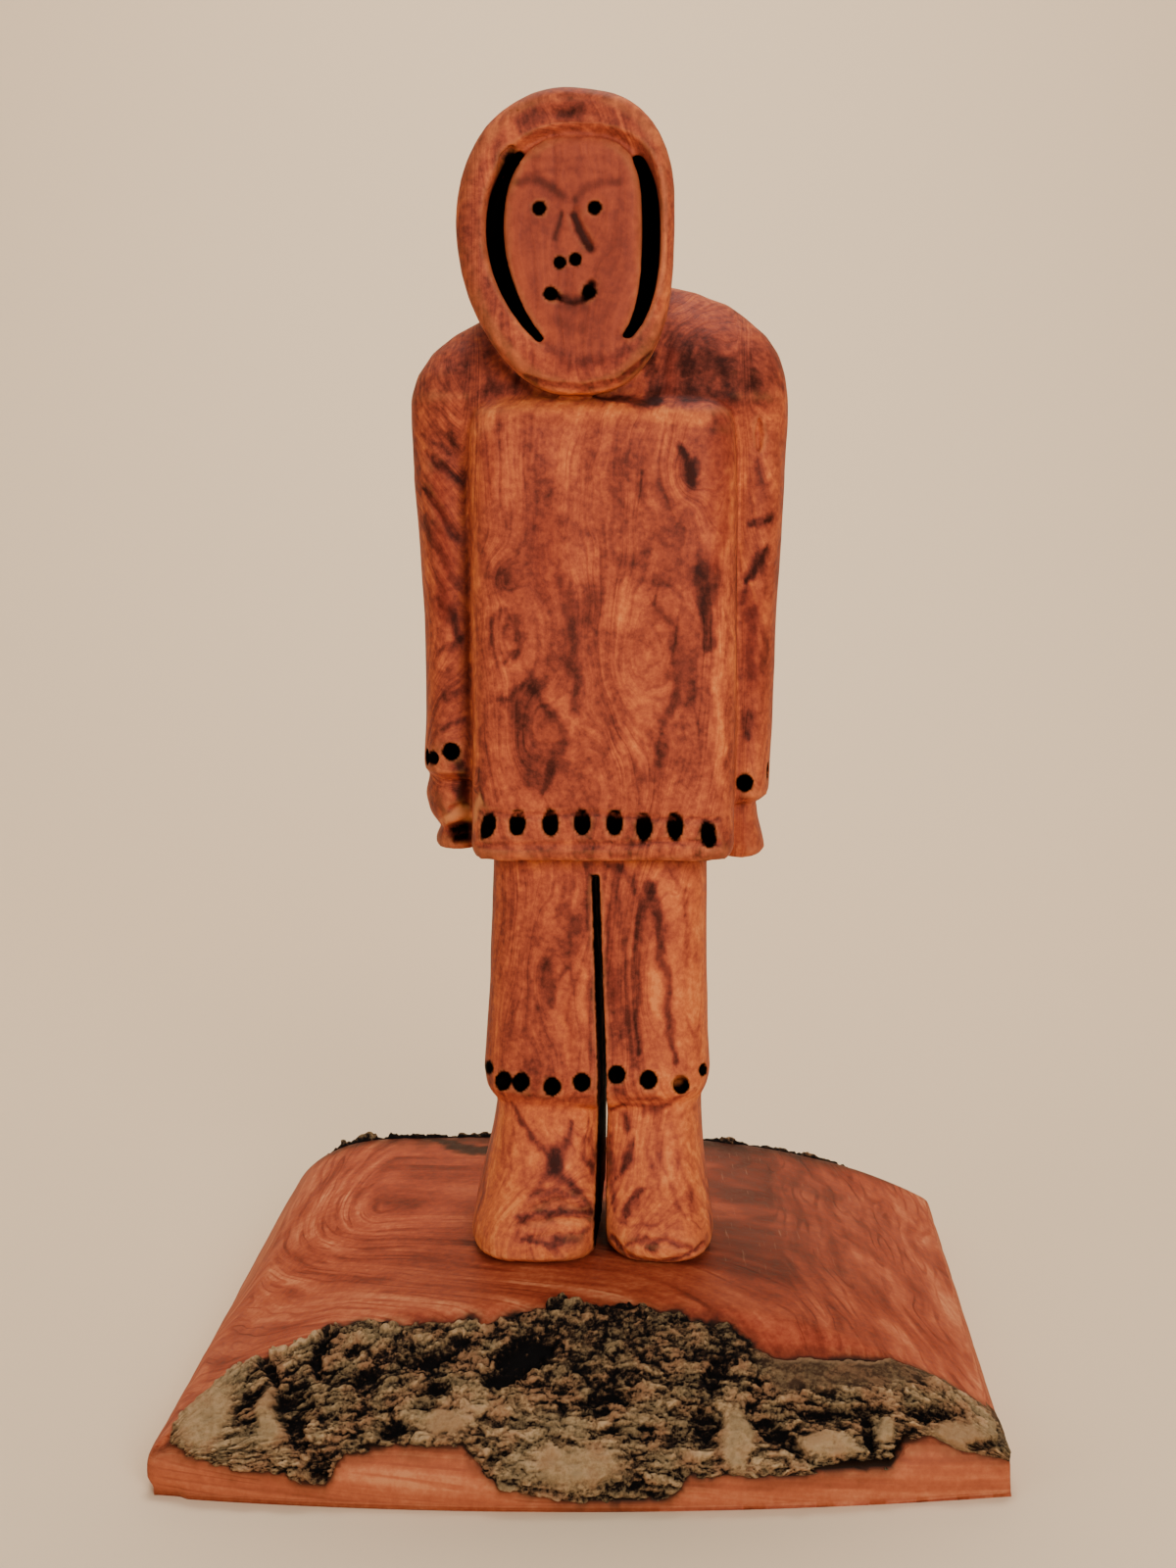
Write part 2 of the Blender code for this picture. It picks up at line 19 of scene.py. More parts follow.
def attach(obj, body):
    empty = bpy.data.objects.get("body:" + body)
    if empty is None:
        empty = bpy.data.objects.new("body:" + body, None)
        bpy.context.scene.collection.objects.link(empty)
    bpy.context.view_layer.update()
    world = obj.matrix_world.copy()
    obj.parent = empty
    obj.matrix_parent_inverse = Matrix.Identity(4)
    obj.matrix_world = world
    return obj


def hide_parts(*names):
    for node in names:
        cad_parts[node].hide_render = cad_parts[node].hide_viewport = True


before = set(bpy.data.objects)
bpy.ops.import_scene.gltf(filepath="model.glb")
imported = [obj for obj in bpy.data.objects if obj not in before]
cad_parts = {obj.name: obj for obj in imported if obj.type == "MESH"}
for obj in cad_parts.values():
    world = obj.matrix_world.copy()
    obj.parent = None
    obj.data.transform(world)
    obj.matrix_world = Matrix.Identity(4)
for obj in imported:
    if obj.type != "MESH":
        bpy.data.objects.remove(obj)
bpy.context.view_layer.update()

MM = 0.001
FIGURE_X = -3.0

# Mesh fineness
FIGURE_VOXEL = 0.40
SLAB_VOXEL = 0.85
FIGURE_TRIANGLES = 196000
SLAB_TRIANGLES = 120000
HELD_STEPS = 6  # how many levels of care the thinning out of a mesh knows
SHARP_BEND = 0.03  # a skin that bends more than this is a crease, and stays crisp
# The bark's grids: points along the slab, and up its edge
FRONT_GRID = (500, 164)
BACK_GRID = (300, 100)

# The slab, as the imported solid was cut
SLAB_LENGTH = 141.0
SLAB_DEPTH = 141.0
SLAB_THICKNESS = 26.0
END_SKEW = 0.05  # how far askew the ends are sawn, for each millimetre of depth
END_FALL = 19.5  # how far the top falls at the sawn ends
# How late it falls: at the front, and at the back on the left and on the right
END_FALL_POWER = 3.2
STEEP_POWER = 8.5
GENTLE_POWER = 2.3
TOP_EDGE_Y = 48.0  # where the top meets the natural edges, in the middle of the slab
STRIP_HEIGHT = 5.5  # the upright strip at an edge's foot
EDGE_BOW = 5.5  # how far an edge's foot draws in at the sawn ends
LOG_BULGE = 2.6  # how far the slope above the strip swells out
UNDERSIDE_Z = 0.62  # whatever lies below this belongs to the flat underside

# Drilled places on the figure, as (x, z), with their radii and the way the drill was held
EYES = ((-6.7, 208.4), (2.5, 208.5))
NOSTRILS = ((-3.3, 199.6), (-0.7, 200.1))
MOUTH_PITS = ((-4.8, 194.5), (1.6, 194.8))
EYE_R = 1.0
NOSTRIL_R = 0.9
HEM_HOLES = (
    (-16, 105.8), (-10.8, 104.9), (-5.1, 104.7), (0.4, 104.8), (6, 104.8), (11.1, 104), (16.5, 104.2),
    (22.3, 103.5),
)
HEM_HOLE_R = 1.25
HEM_TILT = 52.0
HEM_FRONT_Y = -27.3
HEM_BACK_Y = 15.4
HEM_BACK_Z = 105.2
HEM_BACK_X = tuple(-15.0 + 38.0 * step / 6 for step in range(7))
LEG_HOLES = ((-13.8, 57.9), (-10.6, 57.4), (-5.0, 56.4), (0.3, 57.2), (6.5, 58.6), (12.2, 57.7), (18.0, 57.0))
LEG_HOLE_R = 1.4
DUSTY_HOLE = LEG_HOLES[6]
LEG_TILT = 25.0
LEG_FRONT_Y = -22.7
LEG_BACK_Y = 12.9
LEG_BACK_X = (-12.0, -5.0, 10.5, 17.5)
LEG_BACK_Z = 57.5
LEG_LEFT_X = -17.7
LEG_RIGHT_X = 23.9
LEG_SIDE_Y = (-11.0, -2.0, 6.5)
LEG_SIDE_Z = 58.6
LEG_CORNER_HOLES = (((-17.0, -20.9, 59.4), (0.1, 1.0, -0.2)), ((23.1, -20.9, 59.0), (-0.3, 1.0, -0.2)))
LEG_CORNER_HOLE_R = 1.0
CUFF_HOLE_R = 1.4
CUFF_HOLES = (
    ((-22.9, -17.4, 116.2), (0.25, 1.0, -0.15)),
    ((-27.2, -12.0, 114.6), (0.8, 0.8, -0.1)),
    ((29.2, -17.3, 110.6), (-0.1, 1.0, -0.15)),
    ((33.4, -12.0, 112.1), (-0.9, 0.6, -0.1)),
    ((-28.3, 1.5, 115.0), (1.0, 0.0, 0.0)),
    ((-28.3, 9.0, 115.0), (1.0, 0.0, 0.0)),
    ((34.4, 1.5, 111.0), (-1.0, 0.0, 0.0)),
    ((34.4, 9.0, 111.0), (-1.0, 0.0, 0.0)),
)
# A shallower pit beside the left cuff's hole: its start, its course and its radius
CUFF_PIT = ((-26.3, -15.6, 114.8), (0.3, 1.0, -0.12), 1.15)
# The saw cut between the legs: heights, with its middle and its width there
KERF_Z = (23.3, 44.0, 58.0, 94.5)
KERF_MIDDLE = (3.7, 3.6, 3.9, 2.6)
KERF_SPREAD = (2.15, 1.61, 1.43, 1.25)
KERF_SKEW = 0.05
KERF_LEAN = 0.02  # how much further over the cut leans, for each millimetre in from the front
# The hood's opening: centre x and z, then its reach left, right, up and down; and how square each of
# its quarters is: upper left, upper right, lower left, lower right
OPENING_EGG = (-1.2, 204.2, 14.5, 14.5, 16.8, 20.2)
OPENING_ROUNDNESS = (2.2, 2.9, 1.7, 2.6)
FACE_Y = -29.0
# The floor of the hood's opening leans: heights, with its depth there
FLOOR_Z = (184.0, 221.0)
FLOOR_Y = (-29.4, -27.2)
# The slots on both sides of the face: their lowest and highest places, and how far back the painted shade in
# them goes
SLOT_Z = (185.4, 219.6)
SLOT_BACK_Y = -12.0
HOLE_RUN = (-3.5, 9.0)  # how far before and behind its start a drilled hole is followed
OPEN_REACH = 5.0  # how far the open space round a place counts for how dark its painted crease shade is
# Places painted black as shade lie on the head, above HEAD_Z, or on the hands, below HAND_Z and before
# HAND_FRONT_Y
HEAD_Z = 188.0
HAND_Z = 120.0
HAND_FRONT_Y = -6.0
# The mouth's line, as (x, z, half width)
MOUTH = ((-4.8, 194.5, 0.8), (-3.0, 193.7, 0.7), (-1.0, 193.2, 0.8), (0.6, 193.8, 0.9), (1.8, 195.6, 0.9))
# Painted shade, black, in the recesses beside the drilled pits, at the left slot and at the left hand's
# break: how strong, then (x, z, half width) places
SHADE_MARKS = (
    (1, (1, 193.9, 0.75), (1.7, 194.6, 0.85), (2, 196.1, 0.75)),
    (1, (-4.9, 194.5, 0.8), (-3.9, 194.2, 0.6), (-3.2, 193.7, 0.4)),
    (0.6, (-2.9, 193.5, 0.35), (-1, 192.9, 0.45), (0.4, 193.3, 0.5)),
    (1, (-14.1, 208.6, 0.9), (-13.7, 210.6, 1.2), (-13, 212.4, 1.2), (-12.3, 214.8, 1.3),
        (-12.1, 216.4, 1.1), (-11.2, 217.5, 0.9)),
    (1, (-23, 101.2, 0.9), (-21.6, 101.7, 1.2), (-20, 101.9, 1)),
    (1, (-22.3, 99.9, 1), (-20.4, 100.2, 1.1)),
)

# The growth layers are arcs round a pith that lies to the figure's left and behind it
PITH_LEFT = 34.0
PITH_BACK = 26.0

# Knots and swirls that the grain runs round: x, z, half width, half height, how strongly it is pushed
SWIRLS = (
    (18.5, 165, 3, 5, 5),
    (-13, 147.5, 4, 4.5, 6),
    (-12.5, 137, 3, 6, 4),
    (9, 134, 7.5, 13, 9),
    (-6.5, 121, 5, 8, 5),
    (-5, 76, 4.5, 11, 5),
    (12.5, 76, 3, 16, 6),
    (-4, 50.5, 6, 4.5, 4),
    (-4, 33, 6.5, 5, 4.5),
    (13, 30, 7, 4, 3.5),
    (-2, 228, 9, 7, 5),
    (20, 186, 8, 9, 5),
    (-18, 184, 6, 7, 4),
)

# Dark figure in the wood, and a few painted shadows: how strong, then the (x, z, half width) places
# that it runs through
DARK_MARKS = (
    # hood
    (0.36, (-9.5, 222.4, 1.4), (-5.5, 223.9, 1.4), (-2, 224.2, 1.6), (1, 224.4, 1)),
    (0.4, (-2.9, 224.2, 1.1), (-0.2, 224.3, 1.2)),
    (0.36, (7.4, 224.2, 1), (7.9, 221.6, 1.1)),
    (0.3, (-2, 227.5, 0.9), (-1.6, 224.5, 0.9)),
    (0.26, (-18.5, 208, 1.4), (-18.2, 198, 1.6), (-15.5, 189, 1.5)),
    (0.22, (-17, 214, 1.6), (-13, 219, 1.4)),
    (0.36, (-9, 181, 0.6), (-4.8, 179.6, 0.7), (0.6, 179.2, 0.7), (6.6, 180.3, 0.7), (12.4, 184.8, 0.6)),
    (0.46, (-5.2, 185.6, 1.2), (-1.8, 183.2, 1.4), (4, 183.7, 1.1), (8.4, 185.4, 0.9)),
    (0.34, (-3.6, 189.8, 0.9), (0.2, 188.6, 0.9)),
    # face
    (0.22, (-8.8, 216.8, 0.5), (-2, 216.2, 0.5), (4, 216.9, 0.5)),
    (0.22, (-8, 214.2, 0.4), (-2.4, 214.9, 0.5), (4.6, 214.4, 0.4)),
    (0.46, (-10.6, 212.4, 0.6), (-8.6, 213.2, 0.9), (-6.6, 212.9, 0.9), (-4.4, 211.5, 0.9),
        (-2.8, 210.3, 0.9)),
    (0.44, (-0.6, 209.9, 0.8), (0.8, 211.4, 0.8), (3.8, 212.8, 0.9), (6.6, 212.6, 0.7)),
    (0.6, (-3, 208, 0.4), (-3.3, 205.8, 0.6), (-4.1, 203.4, 0.6)),
    (0.3, (-0.7, 209.6, 0.6), (-0.9, 207.4, 0.5)),
    (0.84, (-1, 207.2, 0.5), (-0.1, 204.8, 0.7), (1.9, 201.8, 0.8)),
    (0.62, *MOUTH),
    (0.3, (-3.2, 192.2, 0.7), (-0.8, 191.6, 0.8), (0.8, 192.2, 0.7)),
    # yoke, under the hood and over the shoulders
    # painted shadow: the dark notch under the hood's chin on the left, over the panel's top edge
    (0.55, (-16.2, 178.8, 0.9), (-13.4, 179.8, 1.5), (-10.6, 181.2, 0.8)),
    (0.42, (-20, 186, 1.6), (-19.6, 181, 1.8), (-19.2, 175, 1.2)),
    (0.4, (-22.8, 184, 0.8), (-23.8, 178, 0.9), (-22.6, 172, 0.9)),
    (0.35, (-15.6, 186, 0.9), (-16, 181, 0.9)),
    (0.5, (12.4, 184, 1.2), (12.6, 177.2, 1.2)),
    (0.54, (18.2, 187, 1.6), (18.7, 177.4, 1.4)),
    (0.48, (24.4, 184, 1.3), (25.4, 178.6, 1.5)),
    (0.35, (15.4, 190, 0.9), (15.2, 178, 0.7)),
    (0.3, (21.8, 188, 0.9), (22, 179, 0.8)),
    (0.35, (28.6, 186.5, 1), (30, 180, 1.2)),
    # painted shadow: the thin dark line under the hood's chin on the right, along the panel's top edge
    (0.74, (3, 177.5, 0.6), (8, 177.1, 0.7), (13.4, 177, 0.8)),
    (0.42, (13, 184, 4.5), (22, 185, 6), (30, 180, 4)),
    (0.44, (12, 178.6, 1), (20, 178.4, 1.2), (26.5, 177.4, 1)),
    (0.38, (-18, 177.6, 1), (-14, 179, 1.2), (-8, 179.4, 1)),
    (0.25, (-22, 184, 4), (-12, 181, 3)),
    # panel
    (0.95, (17.3, 169.2, 0.9), (18.1, 166.2, 1.9), (18.9, 163.2, 1.3)),
    (0.55, (10.6, 165, 0.5), (10.4, 160, 0.6)),
    (0.42, (13.4, 162.4, 1.6), (15, 160, 1.6)),
    (0.35, (6.2, 160.4, 1.5), (8, 158, 1.3)),
    (0.4, (4.6, 150.8, 1.3), (8.4, 149.8, 1.7), (10.8, 151.2, 1)),
    (0.42, (11.6, 146.6, 1.2), (14.4, 145.6, 1.4)),
    (0.3, (-3.2, 157.4, 1.2), (-0.8, 154.8, 1.4)),
    (0.3, (13.8, 157.8, 0.9), (14.4, 152.4, 1)),
    (0.34, (-11.8, 158.6, 0.8), (-12.4, 152.6, 1)),
    (0.3, (-8.4, 169.6, 0.7), (-8.8, 163, 0.7)),
    (0.38, (-16.6, 154.4, 1), (-16.4, 148.4, 1.2)),
    (0.5, (-13, 147.6, 2.4), (-12.8, 146.4, 2.6)),
    (0.55, (-14, 141.6, 0.7), (-15.6, 137, 0.6), (-13.6, 131.8, 0.6), (-10.8, 134, 0.6), (-10.6, 139, 0.6),
        (-12.8, 141.8, 0.6)),
    (0.62, (-1.6, 146.6, 0.8), (-1.1, 139.5, 1.8), (-0.6, 130.5, 1.5), (-0.5, 124.6, 0.9)),
    (0.5, (2.4, 145.6, 1.6), (1.2, 140.8, 1.5)),
    (0.4, (-3.4, 147.8, 0.8), (-2.6, 141.6, 1)),
    (0.55, (12.6, 143.2, 0.7), (15.9, 139.2, 1), (16.6, 131.5, 1), (16.2, 126.5, 0.8), (14.6, 122.6, 0.8),
        (13.6, 115.4, 0.8)),
    (0.45, (17.8, 136.4, 0.5), (18.4, 130, 1.2), (18.6, 124, 0.7)),
    (0.4, (19.2, 127.4, 0.5), (20.6, 121, 0.5)),
    (0.72, (21.2, 148.4, 2.7), (21.7, 142, 1.7), (22.4, 134.6, 0.7)),
    (0.6, (-8.2, 131.2, 0.9), (-7.4, 128.6, 1.2)),
    (0.58, (-14.4, 126, 0.5), (-12.2, 127.4, 0.7), (-9, 128.4, 0.6), (-6.4, 126.2, 0.8), (-3.6, 122.2, 1.2),
        (-3, 118.6, 1.3), (-4.6, 115.6, 1), (-6.2, 110.6, 0.8)),
    (0.46, (-9.8, 125, 3.2), (-9.2, 118.6, 3.4), (-8.6, 112.4, 2.4)),
    (0.28, (-6.2, 124.4, 1.2), (-5, 119.4, 1.2)),
    (0.4, (-16.6, 123.6, 0.7), (-16.4, 117.6, 0.8)),
    (0.55, (-17.2, 114, 0.6), (-17, 108.6, 0.7)),
    (0.3, (3.4, 126, 0.8), (5.4, 119.6, 1), (3.6, 116.6, 0.8)),
    (0.26, (9.4, 137, 1.2), (12.2, 136, 0.9)),
    (0.3, (10.4, 113.6, 0.8), (14.6, 112.2, 0.9)),
    (0.24, (0.2, 118, 0.8), (3.6, 114.8, 0.8)),
    # hem
    (0.45, (-17.6, 106.6, 0.3), (-8, 106.2, 0.3), (2, 106.6, 0.3), (12, 105.7, 0.3), (24, 105.4, 0.3)),
    (0.5, (1, 101.6, 0.3), (8, 101, 0.4), (15, 101.7, 0.3), (24, 101.2, 0.3)),
    (0.35, (-16, 101.2, 0.5), (-6, 99.9, 0.4), (3, 99.6, 0.5), (12, 98.8, 0.4), (25, 98.8, 0.4)),
    # left sleeve and hand
    (0.72, (-26.8, 168.4, 0.5), (-24.6, 166.4, 0.8), (-20.8, 163.8, 1.2)),
    (0.6, (-27.2, 162, 0.6), (-24.4, 158, 0.7), (-21.4, 153.8, 0.9)),
    (0.5, (-27.4, 157.6, 0.5), (-25, 151.6, 0.9), (-21, 145, 0.9)),
    (0.55, (-25.2, 148, 0.6), (-23.6, 142.6, 0.9), (-22.2, 139, 1.2)),
    (0.72, (-25.2, 143, 0.5), (-22.6, 139.6, 0.9), (-20.8, 136.4, 0.9)),
    (0.4, (-27, 171.6, 0.5), (-24, 169, 0.6), (-21.6, 167.6, 0.7)),
    (0.66, (-22.2, 171.2, 0.9), (-21.2, 169.2, 1)),
    (0.42, (-25, 176.6, 0.5), (-25.2, 172.6, 0.6), (-23.4, 168.6, 0.6)),
    (0.55, (-25.4, 132.6, 0.5), (-22.8, 134.6, 0.9), (-20.6, 136.2, 0.8)),
    (0.5, (-24.2, 126.2, 1), (-20.6, 126.8, 1)),
    (0.4, (-25.2, 129.6, 0.6), (-22.6, 130.2, 0.7)),
    (0.55, (-25.4, 119.2, 0.5), (-23.4, 121, 0.7), (-20.8, 121.6, 0.8)),
    # painted shade: the dark gap between the left hand and the side of the parka's skirt
    (0.9, (-21.2, 114, 1), (-20.8, 106.4, 1.3)),
    (0.4, (-26.6, 106.6, 0.6), (-24, 104, 0.7)),
    # right sleeve and hand
    (0.4, (31, 166.8, 1), (31.6, 163.6, 1.3)),
    (0.6, (29.6, 156.2, 0.7), (33.8, 157.2, 0.8)),
    (0.8, (32.8, 151.8, 0.7), (31, 149.2, 1.1), (29.8, 146, 0.7)),
    (0.5, (30.2, 148, 0.5), (29.2, 143, 0.6)),
    (0.48, (30, 141, 1), (30, 130, 1.2)),
    (0.62, (29.8, 122.4, 1.3), (29.6, 118.6, 1.1)),
    (0.4, (32.4, 138, 0.6), (32.6, 130.6, 0.6)),
    (0.4, (28.6, 109, 0.6), (28.8, 105.2, 0.7)),
    # left leg
    (0.5, (-3, 94.4, 0.8), (-2.9, 87.4, 1.2)),
    (0.66, (-5.8, 78.4, 1.1), (-6.1, 75, 1.4), (-5.4, 71, 0.7)),
    (0.5, (-2.4, 77.8, 0.6), (-4.6, 75, 0.8)),
    (0.36, (-8.2, 72.4, 0.5), (-6, 66.4, 0.6), (-3.4, 61.4, 0.7)),
    (0.28, (-9, 79, 0.5), (-10, 66, 0.6)),
    (0.4, (-1.6, 95.2, 0.4), (-1.4, 78, 0.5), (-2, 63, 0.5)),
    (0.4, (1.2, 96, 0.4), (1.5, 78, 0.5), (1.6, 62, 0.5)),
    (0.24, (-11.6, 94, 0.5), (-12, 78, 0.6), (-12.6, 63, 0.5)),
    (0.22, (-7, 92, 0.5), (-7.4, 82, 0.6)),
    (0.3, (-14.6, 56.4, 0.4), (-9, 54.6, 0.5), (-3, 53.9, 0.5), (1.6, 54.6, 0.4)),
    # right leg
    (0.62, (12, 93, 0.7), (11.4, 89, 1.1), (10.3, 84, 0.7), (9.9, 78, 0.6), (10, 69, 0.6),
        (10.3, 60.4, 0.6)),
    (0.58, (12.4, 92.6, 0.7), (13.6, 88, 0.8), (14.9, 80, 0.9), (15.6, 70, 0.9), (16.8, 61, 0.6)),
    (0.46, (6.6, 95.6, 0.7), (6.1, 92, 0.6), (7.6, 86.6, 1), (7.2, 81, 0.7)),
    (0.46, (7.6, 78.6, 0.7), (7.1, 74, 0.9), (8, 66, 0.7)),
    (0.42, (5, 90, 0.5), (5.4, 78, 0.8), (6, 66, 0.6)),
    (0.4, (8.6, 79, 0.4), (9, 63, 0.5)),
    (0.55, (4.4, 97.2, 0.5), (8.6, 94.6, 0.6), (10.2, 90.8, 0.5)),
    (0.45, (15, 96, 0.5), (17.6, 92.6, 0.5)),
    (0.3, (18.8, 92, 0.5), (19.2, 78, 0.5)),
    (0.42, (6.6, 55.8, 0.5), (11, 53.6, 0.6), (16, 54, 0.5), (20.6, 55, 0.4)),
    # left boot
    (0.5, (-12.4, 52.2, 0.5), (-8.8, 47, 0.6), (-6, 44.2, 0.8), (-4.8, 42.4, 1.1)),
    (0.56, (-1.4, 49.4, 0.5), (-2.8, 46, 0.9), (-4.4, 42.6, 1.2)),
    (0.5, (-4.4, 45, 0.8), (-4.6, 42.4, 1.4), (-4.7, 40.2, 0.9)),
    (0.48, (-5, 41, 0.9), (-6.8, 39, 0.6), (-9.4, 37, 0.5)),
    (0.56, (-4.2, 41, 0.9), (-2.4, 39.2, 0.7), (0, 36.8, 0.7), (2.6, 33.8, 0.6)),
    (0.4, (-9, 37, 0.5), (-6.7, 38, 0.6), (-3.2, 37.8, 0.6), (-0.8, 36.4, 0.6)),
    (0.56, (-10.9, 33.4, 0.6), (-8, 34.6, 0.7), (-3, 34.9, 0.7), (0.8, 34.2, 0.7), (2.8, 32.6, 0.6)),
    (0.54, (-10.3, 31.1, 0.6), (-6.6, 30.3, 0.7), (-1, 30.6, 0.7), (1.8, 31.8, 0.6)),
    (0.4, (-6.6, 36.4, 0.5), (-2.6, 36.6, 0.6)),
    (0.3, (-8.9, 30.4, 0.4), (-8.4, 26.9, 0.4)),
    (0.3, (-4.5, 30.6, 0.4), (-3.9, 26.9, 0.4)),
    (0.48, (1.2, 50, 0.4), (0.6, 43.3, 0.6), (2.4, 39.8, 0.6)),
    (0.45, (2.4, 47.6, 0.4), (2.6, 41, 0.6)),
    (0.28, (-12.4, 48, 0.5), (-12.8, 40, 0.5)),
    (0.24, (-9.6, 44, 0.4), (-10, 39, 0.5)),
    # right boot
    (0.52, (5, 51.8, 0.5), (8.4, 53, 0.5), (11.8, 51.4, 0.7), (13.6, 51.5, 0.8), (16.6, 53.2, 0.5)),
    (0.58, (8.2, 50.4, 1), (8.8, 48.6, 0.9)),
    (0.58, (9.8, 46.4, 0.5), (8.4, 42.8, 1), (6.6, 40, 0.5)),
    (0.62, (10.8, 38.2, 0.6), (9.1, 36, 1), (8.3, 34.3, 0.7)),
    (0.5, (5.5, 47, 0.5), (5.3, 39.2, 0.8), (6.2, 34.2, 0.5)),
    (0.7, (12.1, 29.2, 0.5), (13.4, 29.5, 0.6)),
    (0.55, (5.6, 30.1, 0.4), (8.3, 27.6, 0.5), (13.9, 26.5, 0.4), (21.7, 28.7, 0.5)),
    (0.46, (7, 29.2, 0.4), (11.6, 30.5, 0.5), (16.1, 30.4, 0.5), (19.6, 29, 0.5)),
    (0.36, (7, 33.4, 0.4), (10.4, 32.2, 0.5), (14, 33.4, 0.4)),
    (0.28, (16.2, 51, 0.5), (17.4, 43.3, 0.5), (19.6, 36.8, 0.5), (21.2, 31.6, 0.4)),
    (0.3, (14, 50.6, 0.5), (14.1, 44.4, 0.5), (16.4, 38, 0.5), (18.6, 33.6, 0.4)),
    (0.26, (12, 49, 0.4), (12.2, 43, 0.5), (14.4, 36.4, 0.5)),
    (0.3, (18.8, 50.4, 0.4), (21.6, 51.2, 0.4)),
)

# Pale figure, rubbed places and painted highlights along edges, in the same way
PALE_MARKS = (
    # painted highlights: the pale arc along the forehead's edge and the pale lines down both edges of the
    # face
    (0.45, (-12.6, 214.4, 0.5), (-10.6, 217.8, 0.5), (-6.6, 219.6, 0.6), (-2, 220.1, 0.6), (4, 219.5, 0.5),
        (7.8, 217.8, 0.4)),
    (0.35, (-11.4, 209, 0.9), (-10.8, 201, 0.9), (-7.8, 192, 0.9), (-5.2, 187.6, 0.6)),
    (0.32, (9.4, 214, 0.9), (10, 205.5, 1), (9.6, 195.5, 1.1), (6.8, 189.5, 0.9)),
    (0.4, (3, 227, 0.7), (4.6, 221.8, 0.7)),
    (0.32, (6.4, 227, 1), (11.6, 222.6, 1), (15, 216, 1.2), (15.6, 204, 1.2), (14.6, 192, 1)),
    (0.22, (-5.4, 221.6, 1), (2, 221.8, 1)),
    (0.22, (-2, 207, 0.8), (-1.6, 202, 1.2)),
    (0.6, (-9.8, 180.2, 0.6), (-4.6, 178.3, 0.6), (0.6, 177.9, 0.6), (6.6, 178.9, 0.6), (13, 184, 0.6)),
    # painted highlight along the panel's lit top edge, under the yoke
    (1, (-16.6, 173.6, 0.9), (-13.6, 175.8, 1.3), (-9, 176.4, 1.4), (-2, 176.2, 1.6), (3, 175, 1.3),
        (9, 175.2, 1.2), (14, 174.8, 1.3), (21, 174.2, 1.1)),
    (0.3, (-12.6, 172, 2.6), (-12, 163, 2.2)),
    (0.3, (-10.8, 168, 1.1), (-10.6, 160, 1.1)),
    (0.26, (-1, 171, 3), (8, 171, 2.6)),
    (0.24, (-3.4, 168, 1.4), (-2.6, 160, 1.4)),
    (0.3, (14.6, 172.4, 1.6), (15.4, 168.4, 1.4)),
    (0.46, (7.6, 142, 2.6), (10.6, 138.6, 3.6), (11, 128.4, 3.6), (10.4, 119, 2.6)),
    (0.4, (10, 128, 1.6), (9.6, 119, 1.6)),
    (0.35, (4.4, 134, 1.6), (4, 126, 1.4)),
    (0.3, (-7.8, 121.6, 0.9), (-7.6, 114, 0.8)),
    (0.36, (-5.4, 131.4, 0.8), (-4.4, 127.2, 0.8), (-1.6, 121.6, 1), (-1.2, 117, 0.9)),
    (0.26, (-3.6, 111, 2), (4, 110.4, 2.4), (14, 109.4, 2.2), (20, 110, 1.6)),
    (0.26, (-11, 133, 0.6), (-13, 129, 0.8)),
    # painted highlights down the panel's two rounded edges, with rubbed wear there too
    (0.8, (-18, 172, 0.6), (-18.4, 150, 0.7), (-18.2, 112, 0.7)),
    (1, (26.8, 174, 0.6), (26, 158.5, 0.7), (23.9, 140, 0.8), (24.2, 112, 0.7)),
    (0.34, (26.9, 150, 0.8), (27, 120, 0.8), (26.8, 104, 0.7)),
    (0.3, (-24, 180, 0.8), (-24.2, 175, 0.8), (-22.4, 172, 0.9)),
    (0.4, (-27.4, 176, 0.6), (-27.2, 150, 0.5), (-26.9, 120, 0.6)),
    (0.45, (-25.2, 133.6, 0.4), (-22.6, 135.6, 0.4), (-20.2, 138, 0.4)),
    (0.5, (-25.6, 117.6, 0.4), (-22.6, 120, 0.5), (-20.2, 122.8, 0.4)),
    (0.35, (-24.6, 130.8, 0.4), (-21, 133, 0.4)),
    (1, (-23, 103.6, 0.8), (-20.4, 104.4, 1.2), (-18.6, 103.8, 0.9)),
    (0.35, (33.6, 172, 0.9), (33.4, 160, 1), (33, 144, 0.8), (32.9, 124, 0.8)),
    (0.34, (29.6, 160.6, 0.7), (33, 160, 0.7)),
    (0.3, (0, 94, 0.6), (0.5, 75, 0.6), (1, 60, 0.5)),
    (0.3, (-14.4, 94, 0.9), (-15.2, 76, 0.9), (-15.6, 62, 0.8)),
    (0.26, (-6, 86, 1.4), (-5.4, 81.6, 1.4)),
    (0.24, (-4, 70, 1.2), (-3, 65, 1.2)),
    (0.34, (9, 97, 0.8), (12.6, 95.6, 1), (15.6, 93.4, 0.8)),
    (0.32, (12.4, 88, 0.9), (12.6, 74, 1.5), (13.4, 62, 1.2)),
    (0.34, (18, 90, 1.2), (18.8, 74, 1.2), (20.4, 62, 1.2)),
    (0.3, (3.6, 90, 0.4), (4.2, 66, 0.4)),
    (0.5, (-0.7, 50.4, 0.8), (-0.9, 43.4, 1), (1.2, 38.4, 0.7)),
    (0.36, (-6.6, 49.8, 1.6), (-3.6, 48.4, 1.8)),
    (0.3, (-9.6, 42.4, 1.3), (-8, 40, 1)),
    (0.34, (-4.4, 39.4, 0.9), (-2.4, 38.4, 0.8)),
    (0.4, (-7, 33.3, 0.5), (-1.6, 33.3, 0.5)),
    (0.26, (-14, 33, 2), (-12.6, 29, 2)),
    (0.34, (13, 46, 1), (12.6, 38, 1.6), (14, 34, 1.2)),
    (0.3, (19.4, 46, 1.2), (20.4, 36, 1.2)),
    (0.3, (6.4, 49.6, 0.6), (6.6, 44, 0.6)),
    (0.3, (9.4, 31.4, 0.7), (17, 28.4, 0.8)),
)

